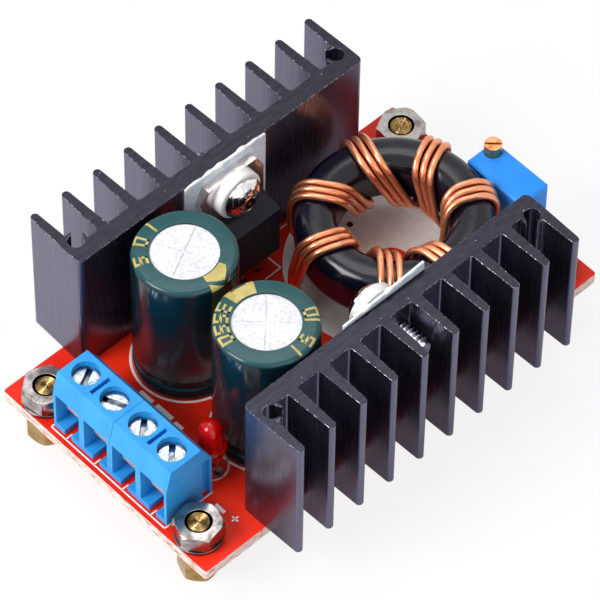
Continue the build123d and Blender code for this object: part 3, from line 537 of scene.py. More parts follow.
def mesh_piece(name: str, vertices: np.ndarray, faces: list, smooth_under: float = 35) -> bpy.types.Object:
    """Makes an object from vertices in millimetres and faces.

    Args:
        name: the object's name.
        vertices: an array of N points.
        faces: lists of vertex indices.
        smooth_under: edges that turn by fewer degrees than this are shaded smooth.

    Returns:
        The new object.
    """
    mesh = bpy.data.meshes.new(name)
    mesh.from_pydata((np.asarray(vertices, float) * MM).tolist(), [], faces)
    mesh.validate()
    return stand(name, shade(mesh, smooth_under))


def grid_faces(rows: int, columns: int, round_rows: bool = False, round_columns: bool = False) -> np.ndarray:
    """Lists the quads of a grid of points, row by row.

    Args:
        rows: how many rows of points there are.
        columns: how many points a row has.
        round_rows: joins the last row to the first.
        round_columns: joins each row's last point to its first.

    Returns:
        An array of four indices a face.
    """
    row = np.arange(rows if round_rows else rows - 1)
    column = np.arange(columns if round_columns else columns - 1)
    row, column = np.meshgrid(row, column, indexing="ij")
    next_row, next_column = (row + 1) % rows, (column + 1) % columns
    here, beyond = row * columns, next_row * columns
    corners = (here + column, here + next_column, beyond + next_column, beyond + column)
    return np.stack([c.ravel() for c in corners], axis=1)


def capped(rows: int, columns: int) -> list:
    """Lists the faces of a tube of points, ring after ring, with both ends closed.

    Args:
        rows: how many rings there are.
        columns: how many points a ring has.

    Returns:
        The faces.
    """
    faces = grid_faces(rows, columns, round_columns=True).tolist()
    last = (rows - 1) * columns
    return faces + [list(range(columns))[::-1], list(range(last, last + columns))]


def spun(out: np.ndarray, up: np.ndarray, centre: Triple, segments: int) -> np.ndarray:
    """Turns a profile about a vertical axis: x = r cos t, y = r sin t, z = h.

    Args:
        out: the radii, N by 1, or N by segments where they change round the turn.
        up: the heights, N by 1.
        centre: where the axis' zero height is.
        segments: how many steps the turn has.

    Returns:
        The points, ring after ring.
    """
    turn = np.linspace(0, 2 * np.pi, segments, endpoint=False)
    x, y, z = centre
    rings = np.broadcast_arrays(x + out * np.cos(turn), y + out * np.sin(turn), z + up)
    return np.stack(rings, axis=2).reshape(-1, 3)


def rounded(points: np.ndarray, radius: np.ndarray | float, steps: int = 8) -> np.ndarray:
    """Rounds the corners of a polyline with tangent arcs.

    At a corner with unit directions a and b to its neighbours, the arc's centre lies along a + b,
    radius / sin(half angle) away, and each arc point turns evenly from one tangent point to the other.

    Args:
        points: N corners in two or three dimensions.
        radius: one radius, or N - 2 of them.
        steps: how many points each arc gets.

    Returns:
        The ends of the polyline with every arc's points between them.
    """
    points = np.asarray(points, float)
    here = points[1:-1]
    back, ahead = points[:-2] - here, points[2:] - here
    back /= np.linalg.norm(back, axis=1, keepdims=True)
    ahead /= np.linalg.norm(ahead, axis=1, keepdims=True)
    angle = np.arccos(np.clip((back * ahead).sum(1), -1, 1))
    radius = np.broadcast_to(np.asarray(radius, float), angle.shape)
    middle = back + ahead
    middle /= np.linalg.norm(middle, axis=1, keepdims=True)
    centre = here + middle * (radius / np.sin(angle / 2))[:, None]
    reach = (radius / np.tan(angle / 2))[:, None]
    start, stop = here + back * reach - centre, here + ahead * reach - centre
    turn = np.pi - angle
    share = np.linspace(0, 1, steps)
    weight_a = np.sin((1 - share)[None, :] * turn[:, None]) / np.sin(turn)[:, None]
    weight_b = np.sin(share[None, :] * turn[:, None]) / np.sin(turn)[:, None]
    arcs = centre[:, None] + weight_a[..., None] * start[:, None] + weight_b[..., None] * stop[:, None]
    return np.vstack([points[:1], arcs.reshape(-1, points.shape[1]), points[-1:]])


def turned(profile: np.ndarray, centre: Triple, segments: int = 72) -> Solid:
    """Turns an open profile about a vertical axis and closes both ends.

    Args:
        profile: radius and height pairs, from one end to the other, with the solid on the axis' side.
        centre: where the axis' zero height is.
        segments: how many steps the turn has.

    Returns:
        The vertices and the faces.
    """
    profile = np.asarray(profile, float)
    return spun(profile[:, :1], profile[:, 1:], centre, segments), capped(len(profile), segments)


def tube(path: np.ndarray, radius: np.ndarray | float, side: np.ndarray, around: int = 16) -> Solid:
    """Carries a circle along a path.

    Each point is path + radius (cos t n + sin t b), where n is the side direction without its
    share along the path, and b is square to both.

    Args:
        path: N points.
        radius: one radius, or one for each point.
        side: a direction, or one for each point, that is never along the path.
        around: how many points the circle has.

    Returns:
        The vertices and the faces, with both ends closed.
    """
    along = np.gradient(path, axis=0)
    along /= np.linalg.norm(along, axis=1, keepdims=True)
    side = np.broadcast_to(side, path.shape)
    normal = side - (side * along).sum(1, keepdims=True) * along
    normal /= np.linalg.norm(normal, axis=1, keepdims=True)
    across = np.cross(along, normal)
    turn = np.linspace(0, 2 * np.pi, around, endpoint=False)
    radius = np.broadcast_to(np.asarray(radius, float), len(path))[:, None, None]
    ring = np.cos(turn)[None, :, None] * normal[:, None] + np.sin(turn)[None, :, None] * across[:, None]
    vertices = (path[:, None] + radius * ring).reshape(-1, 3)
    return vertices, capped(len(path), around)


def joined(parts: list[Solid]) -> Solid:
    """Puts several sets of vertices and faces into one.

    Args:
        parts: the sets.

    Returns:
        The vertices and the faces.
    """
    vertices, faces, start = [], [], 0
    for part_vertices, part_faces in parts:
        vertices.append(part_vertices)
        faces += [[start + index for index in face] for face in part_faces]
        start += len(part_vertices)
    return np.vstack(vertices), faces


def merged_copy(node: str, reshape: Reshape | None = None) -> bpy.types.Mesh:
    """Copies a CAD node's mesh with its points merged and its flat triangles joined.

    Args:
        node: the CAD node's name.
        reshape: turns the points, N by 3 in millimetres, into new ones.

    Returns:
        The new mesh.
    """
    mesh = frame["nodes"][node].data.copy()
    work = bmesh.new()
    work.from_mesh(mesh)
    bmesh.ops.remove_doubles(work, verts=work.verts, dist=2e-6)
    bmesh.ops.dissolve_limit(work, angle_limit=math.radians(1), verts=work.verts, edges=work.edges)
    work.to_mesh(mesh)
    work.free()
    if reshape:
        points = np.empty(len(mesh.vertices) * 3)
        mesh.vertices.foreach_get("co", points)
        mesh.vertices.foreach_set("co", (reshape(points.reshape(-1, 3) / MM) * MM).ravel())
    return mesh


def softened(node: str, width: float, reshape: Reshape | None = None) -> bpy.types.Object:
    """Stands a copy of a CAD node with narrow round edges in the node's place.

    Args:
        node: the CAD node's name.
        width: the width of the rounding in millimetres.
        reshape: changes the copy's points first.

    Returns:
        The new object.
    """
    source = frame["nodes"][node]
    piece = stand(f"{node}_soft", shade(merged_copy(node, reshape), SHARP_OVER))
    rounding = piece.modifiers.new("edges", "BEVEL")
    rounding.width = width * MM
    rounding.segments = 2
    rounding.limit_method = "ANGLE"
    rounding.angle_limit = math.radians(32)
    rounding.harden_normals = True
    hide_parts(node)
    return place_piece(piece, MODULE, source["slot"], OWN_FINISHES.get(node))


def middle_of(node: str) -> tuple[np.ndarray, np.ndarray]:
    """Returns a node's middle and its size, in millimetres."""
    low, high = (np.array(corner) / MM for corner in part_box(node))
    return (low + high) / 2, high - low


# Sub-assemblies

class Side(Enum):
    """The two long sides of the board, as the sign of Y."""
    REAR = 1
    FRONT = -1


@dataclass
class FixingScrew:
    """One of the screws that hold the power transistors, with a cut thread on its shank."""
    node: str
    side: Side
    seat: float = 11.0
    root: float = 1.12
    crest: float = 1.47
    pitch: float = 0.62
    run_out: float = 0.5
    tip_gap: float = 0.25
    around: int = 40

    def thinned(self, points: np.ndarray) -> np.ndarray:
        """Brings the shank's side in to the thread's root.

        Args:
            points: N points in millimetres.

        Returns:
            The points, with the shank's own moved.
        """
        (_, _, height), _ = middle_of(self.node)
        out = np.hypot(points[:, 0], points[:, 2] - height)
        is_shank = (points[:, 1] * self.side.value > self.seat + 0.02) & (out > self.root)
        share = np.where(is_shank, self.root / np.maximum(out, 1e-6), 1.0)
        moved = points.copy()
        moved[:, 0] *= share
        moved[:, 2] = height + (points[:, 2] - height) * share
        return moved

    def thread(self) -> Solid:
        """Winds the thread: the radius at turn t and distance y is root + depth w(y / pitch - t / 2 pi).

        The wave w rises and falls in straight flanks with a flat crest, and shrinks to nothing at the tip.

        Returns:
            The vertices and the faces.
        """
        (_, _, height), _ = middle_of(self.node)
        corners = [corner.y / MM * self.side.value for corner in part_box(self.node)]
        tip = max(corners) - self.tip_gap
        along = np.linspace(self.seat + 0.1, tip, int((tip - self.seat) / self.pitch * 10))[:, None]
        turn = np.linspace(0, 2 * np.pi, self.around, endpoint=False)[None]
        phase = np.mod(along / self.pitch - turn / (2 * np.pi), 1.0)
        wave = np.clip(1.25 - 2.5 * np.abs(phase - 0.5), 0, 1)
        fade = np.clip((tip - along) / self.run_out, 0, 1)
        radius = self.root + 0.01 + (self.crest - self.root) * wave * fade
        y = along * self.side.value
        rings = np.broadcast_arrays(radius * np.cos(turn), y, height + radius * np.sin(turn))
        faces = capped(len(along), self.around)
        if self.side is Side.REAR:
            faces = [face[::-1] for face in faces]
        return np.stack(rings, axis=2).reshape(-1, 3), faces

    def build(self) -> None:
        """Puts the head and the threaded shank in the screw's place."""
        slot = frame["nodes"][self.node]["slot"]
        head = stand(f"{self.node}_head", shade(merged_copy(self.node, self.thinned), SHARP_OVER))
        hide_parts(self.node)
        place_piece(head, MODULE, slot, "screw_chrome")
        place_piece(mesh_piece(f"{self.node}_thread", *self.thread(), 40), MODULE, slot, "screw_chrome")


@dataclass
class Corners:
    """The four corner fixings: nuts with open bores, and studs with turned ends."""
    washer_radius: float = 3.0
    bore: float = 1.5
    bore_mouth: float = 1.65
    stud_end: float = 1.4
    ridges: int = 4
    ridge_height: float = 0.09
    reach: float = 0.1

    def places(self) -> list[tuple[float, float]]:
        """Finds the X and Y of the four fixings.

        Returns:
            Four pairs in millimetres.
        """
        low, high = (np.array(corner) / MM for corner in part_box("washers"))
        xs, ys = ((low[i] + self.washer_radius, high[i] - self.washer_radius) for i in (0, 1))
        return [(x, y) for x in xs for y in ys]

    def opened(self, points: np.ndarray) -> np.ndarray:
        """Widens each nut's bore towards its top, as a tapped hole's mouth.

        Args:
            points: N points in millimetres.

        Returns:
            The points, with the bores' mouths moved.
        """
        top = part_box("nuts")[1].z / MM
        moved = points.copy()
        for x, y in self.places():
            out = np.hypot(points[:, 0] - x, points[:, 1] - y)
            at_mouth = (out < self.bore + self.reach) & (points[:, 2] > top - self.reach)
            share = np.where(at_mouth, self.bore_mouth / np.maximum(out, 1e-6), 1.0)
            for axis, middle in enumerate((x, y)):
                wider = middle + (points[:, axis] - middle) * share
                moved[:, axis] = np.where(at_mouth, wider, moved[:, axis])
        return moved

    def build(self) -> None:
        """Makes the nuts, and turns the concentric ridges of each stud's end."""
        softened("nuts", 0.06, reshape=self.opened)
        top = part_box("standoffs")[1].z / MM
        radius = np.linspace(0.02, self.stud_end, 34)
        height = self.ridge_height * np.sin(self.ridges * 2 * np.pi * radius / self.stud_end) ** 2
        profile = np.vstack([[(self.stud_end, -0.2)], np.column_stack([radius, height])[::-1]])
        ends = [turned(profile, (x, y, top), 48) for x, y in self.places()]
        place_piece(mesh_piece("stud_ends", *joined(ends), 60), MODULE, "brass")


@dataclass
class Silkscreen:
    """The white print on the board's top, as thin flat shapes.

    A bar is the X and Y of both its ends and its width.
    """
    lift: float = 0.012
    line: float = 0.2
    tick: float = 1.1
    choke_disc: tuple[float, ...] = (15.0, 0.1, 2.6, 13.35)
    can_gap: float = 0.3
    ring_width: float = 0.3
    led_ring: tuple[float, float] = (2.05, 2.25)
    blocks_reach: float = 10.05
    block_margin: float = 0.4
    pole_ticks: tuple[float, ...] = (7.5, 2.5, -2.5, -7.5)
    pole_bars: tuple[tuple[float, ...], ...] = (
        (-20.65, 6.7, -20.65, 4.5, 0.85), (-20.55, 3.85, -20.55, 1.05, 0.8),
        (-21.1, 3.5, -21.1, 1.45, 0.4), (-20.75, 0.5, -20.75, -0.9, 0.85),
    )
    plus_sign: tuple[float, ...] = (-24.8, -14.7, 0.5, 0.22)
    other_bars: tuple[tuple[float, ...], ...] = (
        (-25.1, -11.6, -25.1, -13.2, 0.5), (4.64, 11.05, 4.71, 8.94, 0.2),
        (4.71, 8.94, 2.13, 8.9, 0.2), (8.1, 13.4, 10.3, 13.4, 0.2),
    )
    vias: tuple[tuple[float, float], ...] = ((15.57, 8.05), (23.86, 4.89))
    led_pad: tuple[float, float] = (-21.78, -8.38)
    hole: float = 0.42
    pad: float = 0.85

    def ring(
        self, x: float, y: float, inner: float, outer: float, level: int = 1, segments: int = 96,
    ) -> Solid:
        """Makes a flat ring, closed underneath: a rectangle carried round its middle.

        Args:
            x: its middle's X.
            y: its middle's Y.
            inner: the inner radius.
            outer: the outer radius.
            level: how many layers of ink high it is.
            segments: how many steps it has.

        Returns:
            The vertices and the faces.
        """
        low, high = BOARD_TOP, BOARD_TOP + self.lift * level
        section = np.array([(inner, low), (inner, high), (outer, high), (outer, low)])
        points = spun(section[:, :1], section[:, 1:], (x, y, 0.0), segments)
        return points, grid_faces(4, segments, round_rows=True, round_columns=True)[:, ::-1].tolist()

    def bar(self, x0: float, y0: float, x1: float, y1: float, width: float) -> Solid:
        """Makes a flat bar between two points, as a thin box.

        Args:
            x0: the first point's X.
            y0: its Y.
            x1: the second point's X.
            y1: its Y.
            width: the bar's width.

        Returns:
            The vertices and the faces.
        """
        start, stop = np.array([x0, y0]), np.array([x1, y1])
        along = (stop - start) / np.linalg.norm(stop - start)
        across = np.array([-along[1], along[0]]) * width / 2
        corners = np.array([start - across, stop - across, stop + across, start + across])
        low = np.column_stack([corners, np.full(4, BOARD_TOP)])
        high = np.column_stack([corners, np.full(4, BOARD_TOP + self.lift)])
        faces = [[3, 2, 1, 0], [4, 5, 6, 7]] + [[i, (i + 1) % 4, (i + 1) % 4 + 4, i + 4] for i in range(4)]
        return np.vstack([low, high]), faces

    def outline(self, x0: float, y0: float, x1: float, y1: float) -> list[Solid]:
        """Makes the four lines of a rectangle."""
        corners = [(x0, y0), (x1, y0), (x1, y1), (x0, y1), (x0, y0)]
        return [self.bar(*a, *b, self.line) for a, b in zip(corners, corners[1:])]

    def plus(self, x: float, y: float, size: float, width: float) -> list[Solid]:
        """Makes a plus sign."""
        return [self.bar(x - size, y, x + size, y, width), self.bar(x, y - size, x, y + size, width)]

    def build(self) -> None:
        """Prints the board."""
        led, _ = middle_of("led_lens")
        block, block_size = middle_of("input_terminal_housing")
        left, right = block[0] - block_size[0] / 2 - self.block_margin, block[0] + block_size[0] / 2
        parts = [self.ring(*self.choke_disc)]
        for side in ("input", "output"):
            can, size = middle_of(f"{side}_capacitor_can")
            inner = size[0] / 2 + self.can_gap
            parts.append(self.ring(can[0], can[1], inner, inner + self.ring_width))
        parts.append(self.ring(led[0], led[1], *self.led_ring))
        parts += self.outline(left, -self.blocks_reach, right, self.blocks_reach)
        parts += [self.bar(left, y, left + self.tick, y, self.line) for y in self.pole_ticks]
        parts += [self.bar(*bar) for bar in self.pole_bars] + self.plus(*self.plus_sign)
        parts += [self.bar(*bar) for bar in self.other_bars]
        place_piece(mesh_piece("board_print", *joined(parts)), MODULE, "board_laminate", "silk_ink")
        # Painted shade: the open holes of the vias and of the LED's pad are flat dark discs that stand in for
        # the shade inside them.
        holes = [self.ring(*spot, 0.02, self.hole, 2, 32) for spot in (*self.vias, self.led_pad)]
        place_piece(mesh_piece("holes_painted_shade", *joined(holes)), MODULE, "board_laminate", "hole_painted_shade")
        pad = self.ring(*self.led_pad, self.hole, self.pad, 1, 40)
        place_piece(mesh_piece("led_pad", *pad), MODULE, "tinned_wire")


@dataclass
class Capacitor:
    """One capacitor's smooth sleeve; its can, bung and leads come from the CAD.

    Angles are in degrees, and travels are millimetres along the film from its lip outwards and down.

    Attributes:
        name: input or output.
        bar_angle: where the polarity bar's middle is.
        numbers: plain numbers on the flat ring, each with its middle's angle.
        ends_in_arrow: whether the bar ends in an arrow instead of running down the side.
        bar_ends: the travels where the bar's part on the ring and the whole bar end.
        sign: from one minus sign to the next, the sign's height, and half its width in degrees.
        film: how far the print stands out of the film and reaches into it.
    """
    name: str
    bar_angle: float
    numbers: tuple[tuple[str, float], ...]
    ends_in_arrow: bool = False
    lip: float = 2.3
    wall: float = 0.18
    bead_height: float = 2.6
    bead_depth: float = 0.5
    bead_span: float = 1.7
    shoulder: float = 0.72
    bar_half: float = 19.0
    bar_ends: tuple[float, float] = (1.75, 15.75)
    sign: Triple = (3.5, 0.6, 10.0)
    digit_step: float = 17.0
    film: tuple[float, float] = (0.014, -0.03)
    wrinkle_depth: float = 0.035
    wrinkle_belt: float = 0.9
    around: int = 144

    def shrunk(self, turn: np.ndarray, out: np.ndarray, up: np.ndarray) -> np.ndarray:
        """Draws the film in under its shoulder, in the upright wrinkles that shrinking leaves.

        The radius loses depth (1 - (sin(9 t + a) + sin(14 t + b)) / 2) exp(-((z - z0) / 0.9)^2).

        Args:
            turn: turns in radians.
            out: radii of points on the film.
            up: their heights.

        Returns:
            The new radii.
        """
        node = f"{self.name}_capacitor_sleeve"
        _, (width, _, _) = middle_of(node)
        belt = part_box(node)[1].z / MM - self.wrinkle_belt
        first, second = np.random.default_rng(len(self.name)).uniform(0, 2 * np.pi, 2)
        wave = 0.5 * np.sin(9 * turn + first) + 0.5 * np.sin(14 * turn + second) - 1.0
        near = np.exp(-((up - belt) / self.wrinkle_belt) ** 2) * (out > width / 2 - 1.0)
        return out + self.wrinkle_depth * wave * near

    def on_film(self, angle: np.ndarray, travel: np.ndarray, lift: float) -> np.ndarray:
        """Places points on the film's outside, from the lip outwards and down the side.

        With the turn t, the point is (r cos t, r sin t, z). Over the flat ring r grows with the travel.
        Over the shoulder, with f = (travel - flat) / shoulder, r is R - shoulder + shoulder sin f and z is
        top - shoulder + shoulder cos f. Below it z falls with the travel. Lift moves it along the normal.

        Args:
            angle: turns in degrees.
            travel: distances in millimetres from the lip along the film.
            lift: how far off the film the points lie.

        Returns:
            The points, with a last axis of three.
        """
        node = f"{self.name}_capacitor_sleeve"
        (x, y, _), (width, _, _) = middle_of(node)
        radius, top = width / 2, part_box(node)[1].z / MM
        flat, arc = self.lip - self.shoulder, self.shoulder * np.pi / 2
        bend = np.clip((travel - flat) / self.shoulder, 0, np.pi / 2)
        out = radius - self.shoulder + np.minimum(travel - flat, 0) + (self.shoulder + lift) * np.sin(bend)
        up = top - self.shoulder + (self.shoulder + lift) * np.cos(bend) - np.maximum(travel - flat - arc, 0)
        turn = np.radians(angle)
        out = self.shrunk(turn, out, up)
        rings = np.broadcast_arrays(x + out * np.cos(turn), y + out * np.sin(turn), up)
        return np.stack(rings, axis=-1)

    def patch(
        self, a0: float, a1: float, s0: float, s1: float, slant: tuple[float, float] = (0.0, 0.0),
    ) -> Solid:
        """Prints one closed thin patch on the film.

        Args:
            a0: the angle that it starts at.
            a1: the angle that it ends at.
            s0: the travel that it starts at.
            s1: the travel that it ends at.
            slant: how much s0 and s1 grow from the first angle to the last.

        Returns:
            The vertices and the faces.
        """
        angle = np.linspace(a0, a1, max(3, int(abs(a1 - a0) / 3) + 2))
        turn = np.linspace(0, 1, len(angle))[:, None]
        share = np.linspace(0, 1, max(2, int((s1 + max(slant) - s0) / 0.16) + 1))[None]
        travel = (s0 + slant[0] * turn) * (1 - share) + (s1 + slant[1] * turn) * share
        path = np.concatenate([travel, travel[:, ::-1]], axis=1)
        lift = np.repeat(self.film, share.size)
        points = self.on_film(angle[:, None], path, lift[None]).reshape(-1, 3)
        faces = grid_faces(*path.shape, round_columns=True).tolist()
        last = (len(angle) - 1) * path.shape[1]
        for i in range(share.size - 1):
            cap = [i, i + 1, path.shape[1] - 2 - i, path.shape[1] - 1 - i]
            faces += [cap, [last + index for index in cap[::-1]]]
        return points, faces

    def numeral(self, digit: str, middle: float) -> list[Solid]:
        """Prints one plain numeral of straight strokes on the flat ring, with its top towards the lip.

        Args:
            digit: the numeral.
            middle: its middle's angle.

        Returns:
            Its strokes.
        """
        half, stroke = 6.6, 3.3
        low, centre, high, thick = 0.25, 1.175, 2.1, 0.32
        strokes = {
            "a": (-half, half, low, low + thick), "d": (-half, half, high - thick, high),
            "g": (-half, half, centre - thick / 2, centre + thick / 2),
            "f": (-half, stroke - half, low, centre), "e": (-half, stroke - half, centre, high),
            "b": (half - stroke, half, low, centre), "c": (half - stroke, half, centre, high),
        }
        lit = {"0": "abcdef", "1": "bc", "3": "abcdg", "5": "afgcd"}[digit]
        spans = [strokes[key] for key in lit]
        return [self.patch(middle + a0, middle + a1, s0, s1) for a0, a1, s0, s1 in spans]

    def arrow(self, left: float, right: float) -> list[Solid]:
        """Prints the bar's end as a pointed panel with a triangle on each side of its point.

        Args:
            left: the bar's first angle.
            right: its last one.

        Returns:
            Its four patches.
        """
        middle, beside = self.bar_angle, 3
        point, barb = 1.1, 2.72
        return [
            self.patch(left, middle, 0.15, 1.0, (0.0, point)),
            self.patch(middle, right, 0.15, 2.1, (0.0, -point)),
            self.patch(left, middle - beside, 1.55, barb, (point, 0.0)),
            self.patch(middle + beside, right, 2.65, barb, (-point, 0.0)),
        ]

    def bar(self, left: float, right: float) -> list[Solid]:
        """Prints the bar over the ring and down the side, with its minus signs left open.

        Args:
            left: the bar's first angle.
            right: its last one.

        Returns:
            Its patches.
        """
        (ring_end, foot), (pitch, height, half) = self.bar_ends, self.sign
        parts = [self.patch(left, right, 0.15, ring_end)]
        for start in np.arange(ring_end, foot, pitch):
            parts.append(self.patch(left, self.bar_angle - half, start, start + height))
            parts.append(self.patch(self.bar_angle + half, right, start, start + height))
            parts.append(self.patch(left, right, start + height, start + pitch))
        return parts

    def marks(self) -> list[Solid]:
        """Prints the polarity bar and the plain numbers.

        Returns:
            Their patches.
        """
        ends = self.bar_angle - self.bar_half, self.bar_angle + self.bar_half
        parts = self.arrow(*ends) if self.ends_in_arrow else self.bar(*ends)
        for number, middle in self.numbers:
            for i, digit in enumerate(number):
                parts += self.numeral(digit, middle + self.digit_step * (i - (len(number) - 1) / 2))
        return parts

    def sleeve(self) -> None:
        """Turns the shrunk film: straight wall, rolled bead, soft shoulder and the lip on the top."""
        node = f"{self.name}_capacitor_sleeve"
        (x, y, _), (width, _, height) = middle_of(node)
        radius, foot = width / 2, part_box(node)[0].z / MM
        base = foot - BOARD_TOP
        low, high = self.bead_height - self.bead_span / 2, self.bead_height + self.bead_span / 2
        top = base + height
        bead_z = np.linspace(low, high, 15)
        bead_r = radius - self.bead_depth * np.sin(np.pi * (bead_z - low) / (high - low)) ** 1.2
        rim = radius - self.lip
        corner = np.array([(radius, top - 2), (radius, top), (rim, top)])
        shoulder = rounded(corner, self.shoulder, 10)[1:-1]
        outer = np.vstack([[(radius, base)], np.column_stack([bead_r, bead_z]), shoulder])
        lip = np.array([(rim, top), (rim - 0.03, top - 0.05), (rim - 0.03, top - self.wall)])
        inner = np.array([(radius - self.wall, top - self.wall - 0.6), (radius - self.wall, base)])
        profile = np.vstack([outer, lip, inner])
        turn = np.linspace(0, 2 * np.pi, self.around, endpoint=False)
        spread = self.shrunk(turn, profile[:, :1], BOARD_TOP + profile[:, 1:])
        points = spun(spread, profile[:, 1:], (x, y, BOARD_TOP), self.around)
        faces = grid_faces(len(profile), self.around, round_rows=True, round_columns=True).tolist()
        piece = mesh_piece(f"{self.name}_sleeve_film", points, faces, 50)
        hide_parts(node)
        place_piece(piece, MODULE, "sleeve_film")

    def build(self) -> None:
        """Makes the sleeve and its print."""
        self.sleeve()
        marks = mesh_piece(f"{self.name}_sleeve_print", *joined(self.marks()), 60)
        place_piece(marks, MODULE, "sleeve_film", "gold_ink")


@dataclass
class Choke:
    """The ring core and its three parallel wires."""
    inner_radius: float = 6.82
    edge: float = 2.3
    wire: float = 0.43
    pitch: float = 1.12
    seat: float = 0.05
    outer_angles: tuple[float, ...] = (168.0, 123.5, 70.9, 20.0, -28.0, -94.0, -136.0, -190.0)
    inner_angles: tuple[float, ...] = (178.0, 121.2, 69.5, 17.4, -31.0, -103.0, -140.5)
    wall_shares: tuple[float, ...] = (0.5, 0.88, 0.78, 0.5, 0.5, 0.75, 0.75)
    start: float = 158.0
    start_step: float = 0.3
    lead_bottom: float = 3.8
    stray: float = 0.03
    around: int = 160

    def core(self) -> None:
        """Turns the core: a rectangle with round corners, carried round the ring."""
        (x, y, _), (width, _, height) = middle_of("choke_core")
        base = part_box("choke_core")[0].z / MM
        outer = width / 2
        middle = (outer + self.inner_radius) / 2
        inner = self.inner_radius
        corners = np.array([
            (middle, 0), (outer, 0), (outer, height), (inner, height), (inner, 0), (middle, 0),
        ])
        profile = rounded(corners, self.edge, 10)[:-1]
        points = spun(profile[:, :1], profile[:, 1:], (x, y, base), self.around)
        faces = grid_faces(len(profile), self.around, round_rows=True, round_columns=True).tolist()
        piece = mesh_piece("choke_core_coated", points, faces, 60)
        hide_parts("choke_core")
        place_piece(piece, MODULE, "core_coating")

    def route(self, shift: float, seed: int) -> np.ndarray:
        """Works out one wire's corners round the core.

        A point at radius r and angle a, moved sideways by s, is (r cos(a + s/r), r sin(a + s/r)).

        Args:
            shift: how far the wire lies from the middle one.
            seed: the seed of its small strays.

        Returns:
            The corners in millimetres.
        """
        low_corner, high_corner = (np.array(c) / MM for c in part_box("choke_core"))
        outer, offset = (high_corner[0] - low_corner[0]) / 2, self.wire + self.seat
        outside, inside = outer + offset, self.inner_radius - offset
        low, high = low_corner[2] - offset, high_corner[2] + offset
        first, following = np.array(self.outer_angles[:-1]), np.array(self.outer_angles[1:])
        inner = np.array(self.inner_angles)
        slanted = inner + np.array(self.wall_shares) * (following - inner)
        radius = np.tile([outside, inside, inside, outside], len(first))
        turn = np.column_stack([first, inner, slanted, following]).ravel()
        height = np.tile([high, high, low, low], len(first))
        radius[-1], turn[-1], height[-1] = inside, slanted[-1], self.lead_bottom
        foot = outside + self.start_step
        radius, turn = np.append([foot, foot], radius), np.append([self.start, self.start], turn)
        height = np.append([self.lead_bottom, low], height)
        stray = np.random.default_rng(seed).normal(0, self.stray, len(turn))
        swung = np.radians(turn) + (shift + stray) / radius
        (x, y, _), _ = middle_of("choke_core")
        return np.column_stack([x + radius * np.cos(swung), y + radius * np.sin(swung), height])

    def strand(self, index: int) -> None:
        """Carries a round section along one wire's route.

        Args:
            index: the wire's number, from 1 to 3.
        """
        path = rounded(self.route(self.pitch * (index - 2), index), self.edge + self.wire + self.seat, 12)
        middle, _ = middle_of("choke_core")
        out = path[:, :2] - middle[:2]
        around = np.column_stack([-out[:, 1], out[:, 0], np.zeros(len(out))])
        around /= np.linalg.norm(around, axis=1, keepdims=True)
        piece = mesh_piece(f"choke_wire_{index}", *tube(path, self.wire, around, 20), 60)
        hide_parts(f"choke_strand_{index}")
        place_piece(piece, MODULE, "enamelled_copper")

    def build(self) -> None:
        """Makes the core and the wires."""
        self.core()
        for index in (1, 2, 3):
            self.strand(index)


@dataclass
class Indicator:
    """The clear red lens with the metal cup inside it."""
    radius: float = 1.5
    flange: float = 1.9
    flange_height: float = 1.0
    height: float = 5.3

    def build(self) -> None:
        """Turns the lens and its cup."""
        (x, _, _), _ = middle_of("led_lens")
        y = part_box("led_lens")[1].y / MM - self.flange
        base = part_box("led_lens")[0].z / MM
        dome = np.linspace(0, 0.49 * np.pi, 18)
        tube_top = self.height - self.radius
        rim, step = self.flange, self.flange_height
        foot = [
            (rim - 0.1, 0), (rim, 0.1), (rim, step - 0.1), (rim - 0.1, step),
            (self.radius + 0.05, step), (self.radius, step + 0.1),
        ]
        top = [self.radius * np.cos(dome), tube_top + self.radius * np.sin(dome)]
        profile = np.vstack([foot, np.column_stack(top)])
        lens = mesh_piece("led_clear_lens", *turned(profile, (x, y, base), 64), 50)
        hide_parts("led_lens")
        place_piece(lens, MODULE, "red_lens")
        cup = np.array([(0.25, 0.3), (0.3, 1.6), (0.75, 2.3), (0.7, 2.35), (0.25, 1.9)])
        place_piece(mesh_piece("led_cup", *turned(cup, (x, y, base), 32)), MODULE, "tinned_wire")


@dataclass
class PasteBead:
    """White heat paste squeezed out along a pad's edge.

    Attributes:
        name: the piece's name.
        start: where the bead starts.
        stop: where it ends.
        radius: its mean radius.
        seed: the seed of its waves.
    """
    name: str
    start: tuple[float, float, float]
    stop: tuple[float, float, float]
    radius: float
    seed: int

    def build(self) -> None:
        """Carries a circle of wandering size along the edge."""
        share = np.linspace(0, 1, 90)[:, None]
        path = np.array(self.start) * (1 - share) + np.array(self.stop) * share
        waves = np.random.default_rng(self.seed).uniform(0, 2 * np.pi, 4)
        along = share[:, 0] * 2 * np.pi
        swell = 0.25 * np.sin(3 * along + waves[0]) + 0.2 * np.sin(7 * along + waves[1])
        size = self.radius * (1 + swell)
        size *= np.sin(np.pi * np.clip(share[:, 0], 0.01, 0.99)) ** 0.3
        path[:, 2] += 0.06 * np.sin(5 * along + waves[2])
        bead = mesh_piece(self.name, *tube(path, size, (0.0, 1.0, 0.0), 14), 80)
        place_piece(bead, MODULE, "insulating_silicone", "paste")


